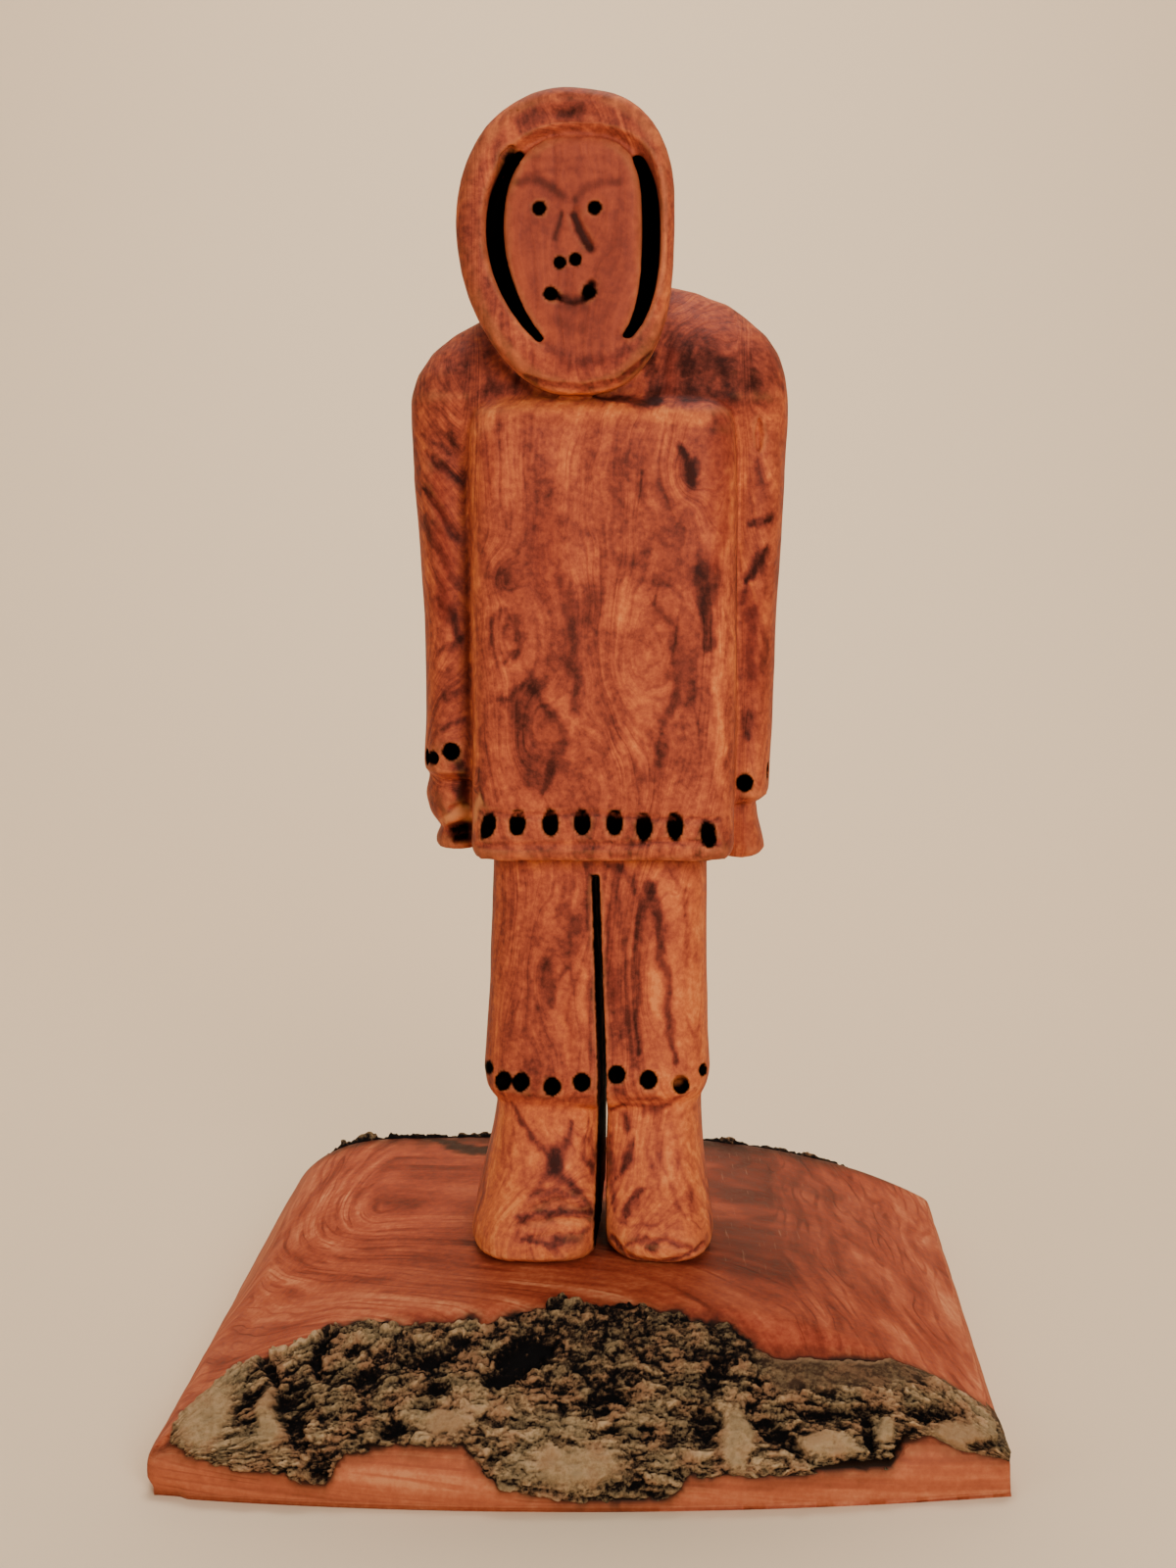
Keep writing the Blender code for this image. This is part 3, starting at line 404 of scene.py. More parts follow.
# Fresh breaks, showing pale bare wood
FRESH_BREAKS = (
    (1, (-24.4, 102.8, 0.7), (-22.6, 104.4, 0.9), (-20.6, 105.2, 1)),
    (1, (-21.4, 104.8, 0.9), (-19.8, 103.2, 0.9)),
    (0.9, (-18.6, 104.6, 0.5), (-18.4, 107, 0.7), (-17.4, 108.8, 0.7)),
)

# Redder streaks, in the same way
RED_MARKS = (
    (0.6, (25, 176, 1.4), (25.2, 160, 1.6), (23.6, 150, 1.2)),
    (0.5, (22.6, 170, 0.9), (22.4, 158, 1)),
    (0.45, (15.6, 186, 0.9), (15.4, 178.4, 0.9)),
    (0.35, (9.4, 182.4, 1), (9.6, 178, 0.9)),
    (0.55, (-24.6, 164, 1.5), (-23.4, 150, 1.6), (-24, 140, 1.2)),
    (0.5, (30.2, 143, 1.4), (30.6, 128, 1.4)),
    (0.7, (28.2, 103, 1.2), (29.6, 98.6, 1.4)),
    (0.4, (-15.2, 172, 0.7), (-15.4, 160, 0.7)),
    (0.35, (-17.2, 170, 0.9), (-17, 158, 0.8)),
    (0.3, (-6, 156, 2.6), (-5, 146, 2.6)),
    (0.36, (-9.6, 184, 1.2), (0, 182.2, 1.4), (8, 184, 1.2)),
    (0.3, (5, 88, 0.9), (6, 72, 0.9)),
    (0.3, (-2.4, 72, 0.9), (-1.6, 62, 0.9)),
)

# Fine cuts pressed in: depth, then the (x, z, half width) places
CUTS = (
    (0.45, (1, 193.9, 0.7), (1.7, 194.6, 0.8), (2, 196.1, 0.7)),
    (0.35, (-4.9, 194.5, 0.8), (-3.9, 194.2, 0.6), (-3.2, 193.7, 0.4)),
    (0.12, *MOUTH),
    (0.3, (-10.2, 180.9, 0.6), (-4.8, 179.5, 0.6), (0.6, 179.1, 0.6), (6.6, 180.2, 0.6),
        (12.4, 184.8, 0.6)),
    (0.3, (-1, 207.4, 0.6), (-0.1, 204.8, 0.8), (1.9, 201.8, 0.7)),
    (1.6, (-13.1, 212.8, 0.7), (-12.3, 214.8, 0.9), (-12.1, 216.4, 0.9), (-11.2, 217.5, 0.8)),
    (0.25, (-17.6, 106.6, 0.6), (-8, 106.2, 0.6), (2, 106.6, 0.6), (12, 105.7, 0.6), (24, 105.4, 0.6)),
    (0.35, (-18, 100.6, 0.6), (-6, 101, 0.6), (8, 101, 0.7), (15, 101.7, 0.6), (24, 101.2, 0.6)),
    (1.1, (31.1, 174, 0.3), (31.2, 171.6, 0.7), (31.1, 169, 0.3)),
    (1.8, (-23, 101.2, 1.2), (-20.2, 101.9, 1.4)),
    (1.4, (-22.3, 99.8, 0.9), (-20.4, 100.2, 1)),
    (0.6, (-23, 105.4, 0.7), (-20.6, 105.8, 0.8)),
    (1.2, (-26.3, 114.7, 0.9), (-26.2, 114.9, 0.9)),
    (0.3, (-11.4, 33.9, 0.6), (-4.5, 34.8, 0.6), (1.7, 34.1, 0.6)),
    (0.3, (-9, 31.9, 0.6), (-4.5, 32.6, 0.6), (0.2, 31.8, 0.6)),
    (0.25, (-9, 36.2, 0.6), (-4, 37.8, 0.6), (0.5, 35.7, 0.6)),
    (0.35, (5.6, 30.1, 0.6), (8.3, 27.6, 0.6), (13.9, 26.5, 0.6), (21.7, 28.7, 0.6)),
    (0.3, (7, 29.2, 0.5), (11.6, 30.5, 0.6), (16.1, 30.4, 0.6), (19.6, 29, 0.6)),
    (0.2, (-27, 162, 0.7), (-24.4, 158, 0.8), (-21.4, 153.8, 0.8)),
    (0.2, (-26.8, 168.4, 0.7), (-24.6, 166.4, 0.8), (-20.8, 163.8, 0.8)),
)
# The smudged hollow in the hood over the forehead: x, z, half width, half height, depth
HOOD_HOLLOW = (-2.5, 223.2, 7.0, 1.8, 0.7)

# The bark's own borders on the front and back edges: (x, y) of each upper one, (x, z) of each lower one
FRONT_UPPER = (
    (-71, -66.5), (-67.7, -63.9), (-63.6, -57.3), (-58, -51.6), (-54, -50.6), (-48.1, -52.6),
    (-45.4, -51.4), (-43.4, -46.4), (-41, -48.4), (-32, -50.3), (-15.5, -50.5), (-9.1, -48.7),
    (-4.3, -45.4), (0.8, -47.4), (9.1, -47.3), (17.3, -49.1), (25.8, -51.2), (28.8, -53.8), (32, -55.7),
    (41.8, -55.1), (50, -54.3), (58.6, -51.4), (67.2, -49.6), (71, -48),
)
FRONT_LOWER = (
    (-71, 8.2), (-66, 7.2), (-60, 6.2), (-54, 5.6), (-47.1, 4.3), (-40.4, 3.2), (-37.4, 8.4), (-29.8, 9),
    (-18.7, 9.2), (-15.4, 6.6), (-11.4, 3.6), (-4.3, 1.6), (6, 0.8), (14.6, 1.6), (18.8, 5.4), (27, 5),
    (36.4, 4.9), (39.6, 5.4), (50.4, 5.3), (53, 8.8), (57.3, 9.4), (62, 7.6), (71, 5.6),
)
BACK_UPPER = (
    (-71, 68), (-66, 60), (-60, 53), (-56, 50.4), (-52, 48.8), (-46, 47.6), (-38, 47), (-30, 46.6),
    (-22, 46.6), (-18, 48.6), (-14, 51), (17, 51.4), (20, 48.6), (24, 48.2), (28, 49), (30.5, 50.7),
    (36, 52), (44, 54.3), (50, 56.6), (54, 60), (60, 64), (71, 69),
)
BACK_LOWER = (
    (-71, 6.6), (-52, 4.6), (-36, 6.4), (-20, 2.6), (-4, 4.8), (14, 2), (30, 6), (48, 5.2), (71, 6.2),
)
BORDERS = {-1: (FRONT_UPPER, FRONT_LOWER), 1: (BACK_UPPER, BACK_LOWER)}
# The bark's bed is sunk this deep in the wood, the bark's rim lies this far under the wood's face, and
# its closed back this far behind the rim
BARK_BED = 2.2
BARK_SUNK = 1.1
BARK_DEPTH = 3.0
BARK_LENGTH = 140.4  # a little short of the sawn ends
BACK_BARK_SHADE = 1.7  # the back edge's bark is darker all over than the moss on the front edge's, as painted shade
# How far out from the slab's middle line the bark's bed is cut, and the wood in front of it darkened
BED_FROM_Y = 38.0
DARKER_FROM_Y = 36.0
# The darkening of the wood in front of the bark on each side: how strong, and how far it reaches
DARKER_BEFORE_BARK = ((-1, 0.35, 2.2), (1, 0.75, 9.0))
# The run up an edge that the bark's grid covers: the strip at the foot, the slope, and in over the top
BARK_RUNS = (5.0, 28.0, 13.0)
# The bark's chunks in three sizes: how wide and tall, how far they differ in height, share of the tone
CHUNKS = ((6.4, 2.0, 0.80, 0.30), (3.0, 1.0, 0.55, 0.35), (1.5, 0.62, 0.30, 0.35))

# A dark pocket of bark in the top, near its back edge: how strong, then (x, y, half width) places
BARK_POCKET = (
    (0.94, (-38, 47, 1.4), (-33.4, 44, 2), (-30.4, 40, 2.6), (-26.6, 37.4, 3.2), (-18, 37, 3)),
)

# Deep gaps in the front bark: x, z, half width, half height, turn in degrees, depth
FRONT_GAPS = (
    (-45.8, 12.4, 2.8, 4.6, 30, 2.6),
    (-41.8, 6.6, 1.9, 2.6, 20, 2),
    (-43.2, 20.6, 1.1, 4, 0, 2.4),
    (-51.6, 17.9, 0.9, 3.4, 54, 2),
    (-34.6, 16.8, 3.6, 1.5, 5, 1.6),
    (-37.6, 20.4, 1.4, 1, 0, 1.2),
    (-26, 19.6, 4.4, 1.1, 4, 1.6),
    (-24.6, 15.4, 3, 1.7, 25, 1.8),
    (-10.4, 19.6, 5.6, 2.3, 20, 2.2),
    (-16.6, 9.6, 2.6, 0.9, 0, 1.2),
    (-30, 11.4, 2.2, 1.3, 0, 1.4),
    (-13, 8, 2.2, 0.7, 20, 1.2),
    (5, 15.2, 5.4, 0.8, 0, 1.4),
    (20.6, 12.4, 1.5, 3, 6, 2.4),
    (22.4, 18, 2.4, 1.4, 20, 1.6),
    (32.8, 10.2, 1.5, 5.4, 54, 2.8),
    (44, 13.2, 8, 0.8, -2, 1.8),
    (58, 12.3, 5, 0.9, -4, 2.2),
    (46.9, 10.2, 0.9, 2.8, 20, 2.2),
    (45.6, 6.6, 7.4, 1, 2, 2.6),
    (52.4, 8.6, 1, 3.2, -40, 2.4),
    (66, 8.2, 3.4, 0.7, -5, 1.2),
)
# Whole pale plates in the front bark, in the same way, with how far each stands out
FRONT_PLATES = (
    (40.6, 9.5, 5.2, 2, 0, 1),
    (49.9, 10.8, 1.9, 1.6, 10, 0.9),
    (62.4, 9.2, 6, 1.9, -10, 0.7),
    (-60.4, 11.4, 5.6, 3.4, 30, 0.7),
    (-50, 12.4, 2.6, 4, 10, 0.6),
    (25.6, 10, 3, 4.4, 0, 0.8),
    (-22, 12.4, 4.4, 1.8, 0, 0.5),
    (0, 7, 8, 3, 0, 0.5),
)

# Each wood's colours from its darkest tone to its lightest, how far its pattern changes along X, Y
# and Z for each millimetre, and how much each part of the pattern counts
FIGURE_TONES = (
    (0.0, "#3a160e"),
    (0.2, "#60291e"),
    (0.4, "#863a2a"),
    (0.55, "#a24931"),
    (0.7, "#ba5a37"),
    (0.85, "#d16b39"),
    (1.0, "#e18144"),
)
FIGURE_RUN = (0.10, 0.10, 0.022)
FIGURE_WEIGHTS = {
    "fineness": 1, "band": 0.8, "fibre": 0.36, "mottle": 1,
    "blotch": 0.7, "line": 0.12, "pale": 0.28, "dark": 0.6,
}
SLAB_TONES = (
    (0.0, "#47170d"),
    (0.2, "#662314"),
    (0.4, "#84331f"),
    (0.55, "#984028"),
    (0.7, "#aa5031"),
    (0.85, "#bb6440"),
    (1.0, "#cb7f53"),
)
SLAB_RUN = (0.025, 0.04, 0.10)
SLAB_WEIGHTS = {
    "fineness": 0.62, "band": 1.15, "fibre": 0.3, "mottle": 0.75,
    "blotch": 0.55, "line": 0.24, "pale": 0.22, "dark": 0.22,
}
BARK_TONES = (
    (0.14, "#070302"),
    (0.28, "#24160d"),
    (0.42, "#57402a"),
    (0.56, "#866543"),
    (0.72, "#ab875c"),
    (0.95, "#cfa97c"),
)

# The sweep: its width, its whole run, where on it the turn up starts, the turn's radius, its front end
SWEEP = (5000.0, 3600.0, 1500.0, 500.0, -1100.0)
SWEEP_COLOUR = "#ecd0ab"
# The lights: name, place, width, strength in watts, and the place each is aimed at
LIGHTS = (
    ("key", (215.0, -675.0, 330.0), 320.0, 3.55, (0.0, 0.0, 90.0)),
    ("fill", (-520.0, -420.0, 300.0), 460.0, 0.8, (0.0, 0.0, 110.0)),
    ("above", (0.0, 100.0, 900.0), 700.0, 1.7, (0.0, 0.0, 110.0)),
    ("backdrop", (0.0, 350.0, 1100.0), 600.0, 11.0, (0.0, 1000.0, 300.0)),
)
CAMERA_PLACE = (-1.6, -400.0, 163.06)
CAMERA_PITCH = 7.84  # degrees down from level
ROOM_COLOUR = "#fffaf4"
ROOM_LIGHT = 0.26


def pick(piece):
    """Selects one piece alone and makes it active."""
    bpy.ops.object.select_all(action="DESELECT")
    piece.select_set(True)
    bpy.context.view_layer.objects.active = piece


def finish_with(piece, kind, **settings):
    """Adds a modifier with these settings and applies it."""
    pick(piece)
    change = piece.modifiers.new(kind.lower(), kind)
    for name, value in settings.items():
        setattr(change, name, value)
    bpy.ops.object.modifier_apply(modifier=change.name)


def placed(name, data):
    """A new object in the scene for this data."""
    made = bpy.data.objects.new(name, data)
    bpy.context.scene.collection.objects.link(made)
    return made


def edit_all(piece, *steps):
    """Runs steps in edit mode with the whole piece selected, each an operator and its settings."""
    pick(piece)
    bpy.ops.object.mode_set(mode="EDIT")
    bpy.ops.mesh.select_all(action="SELECT")
    for step, settings in steps:
        step(**settings)
    bpy.ops.object.mode_set(mode="OBJECT")


def grid_piece(name, columns, rows):
    """A new flat grid one metre wide and deep, on its own."""
    bpy.ops.object.select_all(action="DESELECT")
    bpy.ops.mesh.primitive_grid_add(x_subdivisions=columns, y_subdivisions=rows, size=1.0)
    piece = bpy.context.object
    piece.name = piece.data.name = name
    return piece


def closed_copy(node, name):
    """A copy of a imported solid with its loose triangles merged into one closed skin."""
    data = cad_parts[node].data.copy()
    data.name = name
    data.materials.clear()
    made = placed(name, data)
    edit_all(made, (bpy.ops.mesh.remove_doubles, {"threshold": 0.01 * MM}))
    return made


def vertex_rows(piece, field):
    """A field of three numbers, such as a place or a normal: one row for each point."""
    values = np.empty(len(piece.data.vertices) * 3, np.float32)
    piece.data.vertices.foreach_get(field, values)
    return values.reshape(-1, 3).astype(float)


def points_of(piece):
    """Every point of the mesh, in millimetres."""
    return vertex_rows(piece, "co") / MM


def normals_of(piece):
    """Every point's normal."""
    return vertex_rows(piece, "normal")


def move_points(piece, points):
    """Puts every point of the mesh at these places, in millimetres."""
    piece.data.vertices.foreach_set("co", (points * MM).astype(np.float32).ravel())
    piece.data.update()


def edges_of(piece):
    """The two ends of every edge, as two rows of point numbers."""
    ends = np.empty(len(piece.data.edges) * 2, np.int32)
    piece.data.edges.foreach_get("vertices", ends)
    return ends.reshape(-1, 2).T


def averaged(values, edges):
    """Each point's mean over its neighbours, for an array with one row for each point."""
    first, second = edges
    count = len(values)
    around = np.bincount(first, minlength=count) + np.bincount(second, minlength=count)
    total = np.empty_like(values)
    for column in range(values.shape[1]):
        one = values[:, column]
        total[:, column] = np.bincount(first, one[second], count) + np.bincount(second, one[first], count)
    return total / np.maximum(around, 1)[:, None]


def relax(values, edges, rounds, share=0.5):
    """Values eased towards their neighbours; share may be one number or one for each point."""
    for _ in range(rounds):
        values = values + share * (averaged(values, edges) - values)
    return values


def ramp(values, low, high):
    """A smooth step from 0 at low to 1 at high."""
    share = np.clip((values - low) / (high - low), 0.0, 1.0)
    return share * share * (3 - 2 * share)


def cloud(points, size, seed, tall=1.0, wide=1.0):
    """Soft noise from about -1 to 1 with lumps of this size, drawn out along Z and X."""
    scaled = points / (size * wide, size, size * tall) + 17.3 * seed
    return np.array([noise.noise(Vector(spot)) for spot in scaled.tolist()])


def clouds(points, *layers):
    """Soft noise in several sizes at once; each layer is its strength, size, seed and stretch."""
    return sum(strength * cloud(points, size, seed, *stretch) for strength, size, seed, *stretch in layers)


def marked(places, path, core=0.35, rim=1.45):
    """How strongly a mark on this (x, z, half width) path covers each (x, z) place, from 0 to 1.

    It is full within core times its half width, and has faded out at rim times it.
    """
    cover = np.zeros(len(places))
    for (ax, az, aw), (bx, bz, bw) in zip(path, path[1:]):
        run = np.array((bx - ax, bz - az))
        along = ((places - (ax, az)) @ run) / max(run @ run, 1e-6)
        along = np.clip(along, 0.0, 1.0)
        away = np.linalg.norm(places - (ax, az) - along[:, None] * run, axis=1)
        cover = np.maximum(cover, 1 - ramp(away / (aw + along * (bw - aw)), core, rim))
    return cover


def painted(places, marks, core=0.35, rim=1.45):
    """All the marks together, each at its own strength."""
    left = np.ones(len(places))
    for strength, *path in marks:
        low = min(z - 3 * w for _, z, w in path)
        high = max(z + 3 * w for _, z, w in path)
        near = (places[:, 1] > low) & (places[:, 1] < high)
        left[near] *= 1 - strength * marked(places[near], path, core, rim)
    return 1 - left


def keep(piece, name, values):
    """Stores values as a point attribute, one number or three for each point."""
    kind = "FLOAT" if values.ndim == 1 else "FLOAT_VECTOR"
    made = piece.data.attributes.new(name, kind, "POINT")
    made.data.foreach_set("value" if kind == "FLOAT" else "vector", values.astype(np.float32).ravel())


def thin_out(piece, triangles, held):
    """Collapses the mesh to this many triangles, and keeps more of it where held is near 1."""
    group = piece.vertex_groups.new(name="held")
    level = np.round(np.clip(held, 0.0, 1.0) * HELD_STEPS).astype(int)
    for step in range(1, HELD_STEPS + 1):
        group.add(np.flatnonzero(level == step).tolist(), step / HELD_STEPS, "REPLACE")
    piece.data.calc_loop_triangles()
    share = triangles / len(piece.data.loop_triangles)
    if share < 1:
        finish_with(
            piece,
            "DECIMATE",
            ratio=share,
            vertex_group="held",
            invert_vertex_group=True,
            vertex_group_factor=1.0,
            use_collapse_triangulate=True,
        )
    piece.vertex_groups.clear()


def hidden_share(piece, reach, rays=20):
    """How much of the open space round each point is blocked within reach, from 0 to 1."""
    tree = BVHTree.FromObject(piece, bpy.context.evaluated_depsgraph_get())
    chance = random.Random(5)
    spread = []
    for _ in range(rays):
        height, turn = chance.uniform(-1, 1), chance.uniform(0, 2 * math.pi)
        flat = math.sqrt(1 - height * height)
        spread.append(Vector((flat * math.cos(turn), flat * math.sin(turn), height)))
    blocked = []
    for vertex in piece.data.vertices:
        start = vertex.co + vertex.normal * 0.15 * MM
        hits = 0
        for way in spread:
            aim = (vertex.normal * 1.05 + way).normalized()
            hits += tree.ray_cast(start, aim, reach * MM)[0] is not None
        blocked.append(hits / rays)
    return np.array(blocked)


def bend_of(normals, edges):
    """How sharply the skin bends at each point: the mean over its edges of 1 less their cosine."""
    first, second = edges
    count = len(normals)
    bend = 1 - np.einsum("ij,ij->i", normals[first], normals[second])
    around = np.bincount(first, minlength=count) + np.bincount(second, minlength=count)
    return (np.bincount(first, bend, count) + np.bincount(second, bend, count)) / np.maximum(around, 1)


def seen_from_front(points):
    """The (x, z) places, with x from the figure's own middle line."""
    return points[:, [0, 2]] - (FIGURE_X, 0.0)


def kerf_middle(points):
    """Where the saw cut's middle is at each place, on the figure's own X."""
    return np.interp(points[:, 2], KERF_Z, KERF_MIDDLE) + KERF_SKEW * (points[:, 1] - LEG_FRONT_Y)


def kerf_half(points):
    """Half the saw cut's width at each place."""
    return np.interp(points[:, 2], KERF_Z, KERF_SPREAD) / 2


def carve_figure():
    """The figure's skin: facets worked smooth, crisp holes and slots kept, fine cuts pressed in."""
    piece = closed_copy("carved_figure", "driftwood_figure")
    finish_with(piece, "REMESH", mode="VOXEL", voxel_size=FIGURE_VOXEL * MM)
    edges = edges_of(piece)
    sawn = points_of(piece)
    # the skin is eased well away from sharp creases, then let out again by what the easing took off
    crease = (bend_of(normals_of(piece), edges) > SHARP_BEND).astype(float)
    near_crease = relax(crease[:, None], edges, 5)[:, 0]
    soft = 1 - ramp(near_crease, 0.01, 0.10)
    points = relax(sawn, edges, 40, 0.5 * soft[:, None])
    move_points(piece, points)
    normals = normals_of(piece)
    lost = np.einsum("ij,ij->i", sawn - points, normals)
    points = points + normals * relax(lost[:, None], edges, 16) * 0.9
    points = relax(points, edges, 1)
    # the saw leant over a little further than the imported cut, so that no light comes through
    in_from_front = np.clip(points[:, 1] - LEG_FRONT_Y, 0.0, 40.0)
    beside = np.abs(points[:, 0] - FIGURE_X - kerf_middle(points)) - kerf_half(points)
    below_top = 1 - ramp(points[:, 2], KERF_Z[-1] + 0.1, KERF_Z[-1] + 2.5)
    points[:, 0] += KERF_LEAN * in_from_front * (1 - ramp(beside, 0.3, 4.0)) * below_top
    move_points(piece, points)

    normals = normals_of(piece)
    places = seen_from_front(points)
    front = ramp(-normals[:, 1], 0.15, 0.6)
    press = np.zeros(len(points))
    for depth, *path in CUTS:
        low, high = min(z for _, z, _ in path) - 3, max(z for _, z, _ in path) + 3
        near = np.flatnonzero((places[:, 1] > low) & (places[:, 1] < high) & (front > 0))
        press[near] = np.maximum(press[near], depth * marked(places[near], path) * front[near])
    hollow_x, hollow_z, wide, tall, depth = HOOD_HOLLOW
    over_brow = np.exp(-(((places[:, 0] - hollow_x) / wide) ** 2) - ((places[:, 1] - hollow_z) / tall) ** 2)
    press += depth * over_brow * front
    wander = clouds(points, (0.26, 9.0, 1, 2.2), (0.09, 3.4, 2, 2.2))
    wander *= np.where(near_crease > 0.05, 0.5, 1.0)
    points = points + normals * (wander - press)[:, None]
    move_points(piece, points)
    held = 0.2 + 0.45 * ramp(-normals[:, 1], -0.2, 0.5) + 0.4 * ramp(near_crease, 0.05, 0.3)
    thin_out(piece, FIGURE_TRIANGLES, held)
    return piece


def grain_field(points):
    """The figure's growth layers, as a number that rises by about 1 for each millimetre across."""
    across = points[:, 0] - FIGURE_X
    height = points[:, 2]
    drift = clouds(points, (8.0, 24.0, 3, 2.6), (2.6, 8.0, 4, 2.6), (0.8, 3.0, 31, 2.4))
    field = np.sqrt((across + PITH_LEFT) ** 2 + (points[:, 1] - PITH_BACK) ** 2) + drift
    # the left sleeve was cut across a branch: its layers run down inwards, and up inwards lower down
    branch = np.sqrt((height - 137.0) ** 2 + 16.0) * ramp(-across, 16.5, 20.5) * ramp(height, 108.0, 114.0)
    field += 0.9 * branch
    field += 0.4 * (height - 150.0) * ramp(across, 27.0, 30.0)
    # the layers stand aside where the wood holds a knot or a swirl
    front = ramp(-points[:, 1], -2.0, 12.0)
    for x, z, wide, tall, push in SWIRLS:
        away = ((across - x) / wide) ** 2 + ((height - z) / tall) ** 2
        field += push * np.exp(-away) * front
    return field


def in_opening(places):
    """Below 1 inside the hood's egg-shaped opening, as seen from the front, and above 1 outside it."""
    middle_x, middle_z, left, right, up, down = OPENING_EGG
    aside, rise = places[:, 0] - middle_x, places[:, 1] - middle_z
    *quarters, last = OPENING_ROUNDNESS
    power = np.select([(aside < 0) & (rise >= 0), rise >= 0, aside < 0], quarters, last)
    reach_x = np.where(aside < 0, left, right)
    reach_z = np.where(rise >= 0, up, down)
    return np.abs(aside / reach_x) ** power + np.abs(rise / reach_z) ** power


def drilled_places():
    """Each drilled hole as its start on the skin, the drill's course and its radius."""
    places = [((x, FACE_Y, z), (0, 1, 0), EYE_R) for x, z in EYES + MOUTH_PITS]
    places += [((x, FACE_Y, z), (0, 1, 0), NOSTRIL_R) for x, z in NOSTRILS]
    steep = (math.cos(math.radians(HEM_TILT)), -math.sin(math.radians(HEM_TILT)))
    places += [((x, HEM_FRONT_Y - 0.3, z + 0.6), (0, *steep), HEM_HOLE_R) for x, z in HEM_HOLES]
    places += [((x, HEM_BACK_Y, HEM_BACK_Z), (0, -steep[0], steep[1]), HEM_HOLE_R) for x in HEM_BACK_X]
    gentle = (math.cos(math.radians(LEG_TILT)), -math.sin(math.radians(LEG_TILT)))
    places += [((x, LEG_FRONT_Y, z + 0.3), (0, *gentle), LEG_HOLE_R) for x, z in LEG_HOLES]
    places += [((x, LEG_BACK_Y, LEG_BACK_Z), (0, -gentle[0], gentle[1]), LEG_HOLE_R) for x in LEG_BACK_X]
    for x, side in ((LEG_LEFT_X, 1), (LEG_RIGHT_X, -1)):
        course = (side * gentle[0], 0, gentle[1])
        places += [((x, y, LEG_SIDE_Z), course, LEG_HOLE_R) for y in LEG_SIDE_Y]
    places += [(start, course, LEG_CORNER_HOLE_R) for start, course in LEG_CORNER_HOLES]
    places += [(start, course, CUFF_HOLE_R) for start, course in CUFF_HOLES]
    return places + [CUFF_PIT]


def deep_shade_of(points, ragged, blocked):
    """Painted shade: how black each place is inside the drilled holes, the slots by the face and the saw cut.
    """
    spot = points - (FIGURE_X, 0.0, 0.0)
    x, y, z = spot.T
    deep_shade = np.zeros(len(points))
    deep_in = 0.9 * ramp(blocked, 0.70, 0.88)
    for start, course, radius in drilled_places():
        course = np.array(course, float) / np.linalg.norm(course)
        away = spot - start
        along = away @ course
        aside = np.linalg.norm(away - along[:, None] * course, axis=1)
        here = (along > HOLE_RUN[0]) & (along < HOLE_RUN[1]) & (aside < radius + 1.0)
        black = 1 - ramp(aside[here] + ragged[here] - deep_in[here], radius + 0.12, radius + 0.36)
        deep_shade[here] = np.maximum(deep_shade[here], black)
    # the saw cut
    cut_x = kerf_middle(spot) + KERF_LEAN * (y - LEG_FRONT_Y)
    in_cut = 1 - ramp(np.abs(x - cut_x) - kerf_half(spot) + ragged, 0.0, 0.22)
    deep_shade = np.maximum(deep_shade, in_cut * (z < KERF_Z[-1] + 0.4))
    # the two slots: inside the hood's opening and behind its floor
    places = seen_from_front(points)
    low, high = SLOT_Z
    in_slot = (in_opening(places) < 1.08) & (y < SLOT_BACK_Y) & (z > low) & (z < high)
    floor_y = np.interp(z, FLOOR_Z, FLOOR_Y)
    deep_shade = np.maximum(deep_shade, ramp(y - floor_y + ragged, 0.35, 1.0) * in_slot)
    # pale dust fills one trouser hole in part
    dust_x, dust_z = DUSTY_HOLE
    deep_shade *= 0.45 + 0.55 * ramp(np.hypot(x - dust_x + 0.7, z - dust_z - 0.3) + ragged, 0.7, 2.0)
    in_front = ((z > HEAD_Z) & (y < SLOT_BACK_Y)) | ((z < HAND_Z) & (y < HAND_FRONT_Y))
    return np.maximum(deep_shade, painted(places, SHADE_MARKS) * in_front)


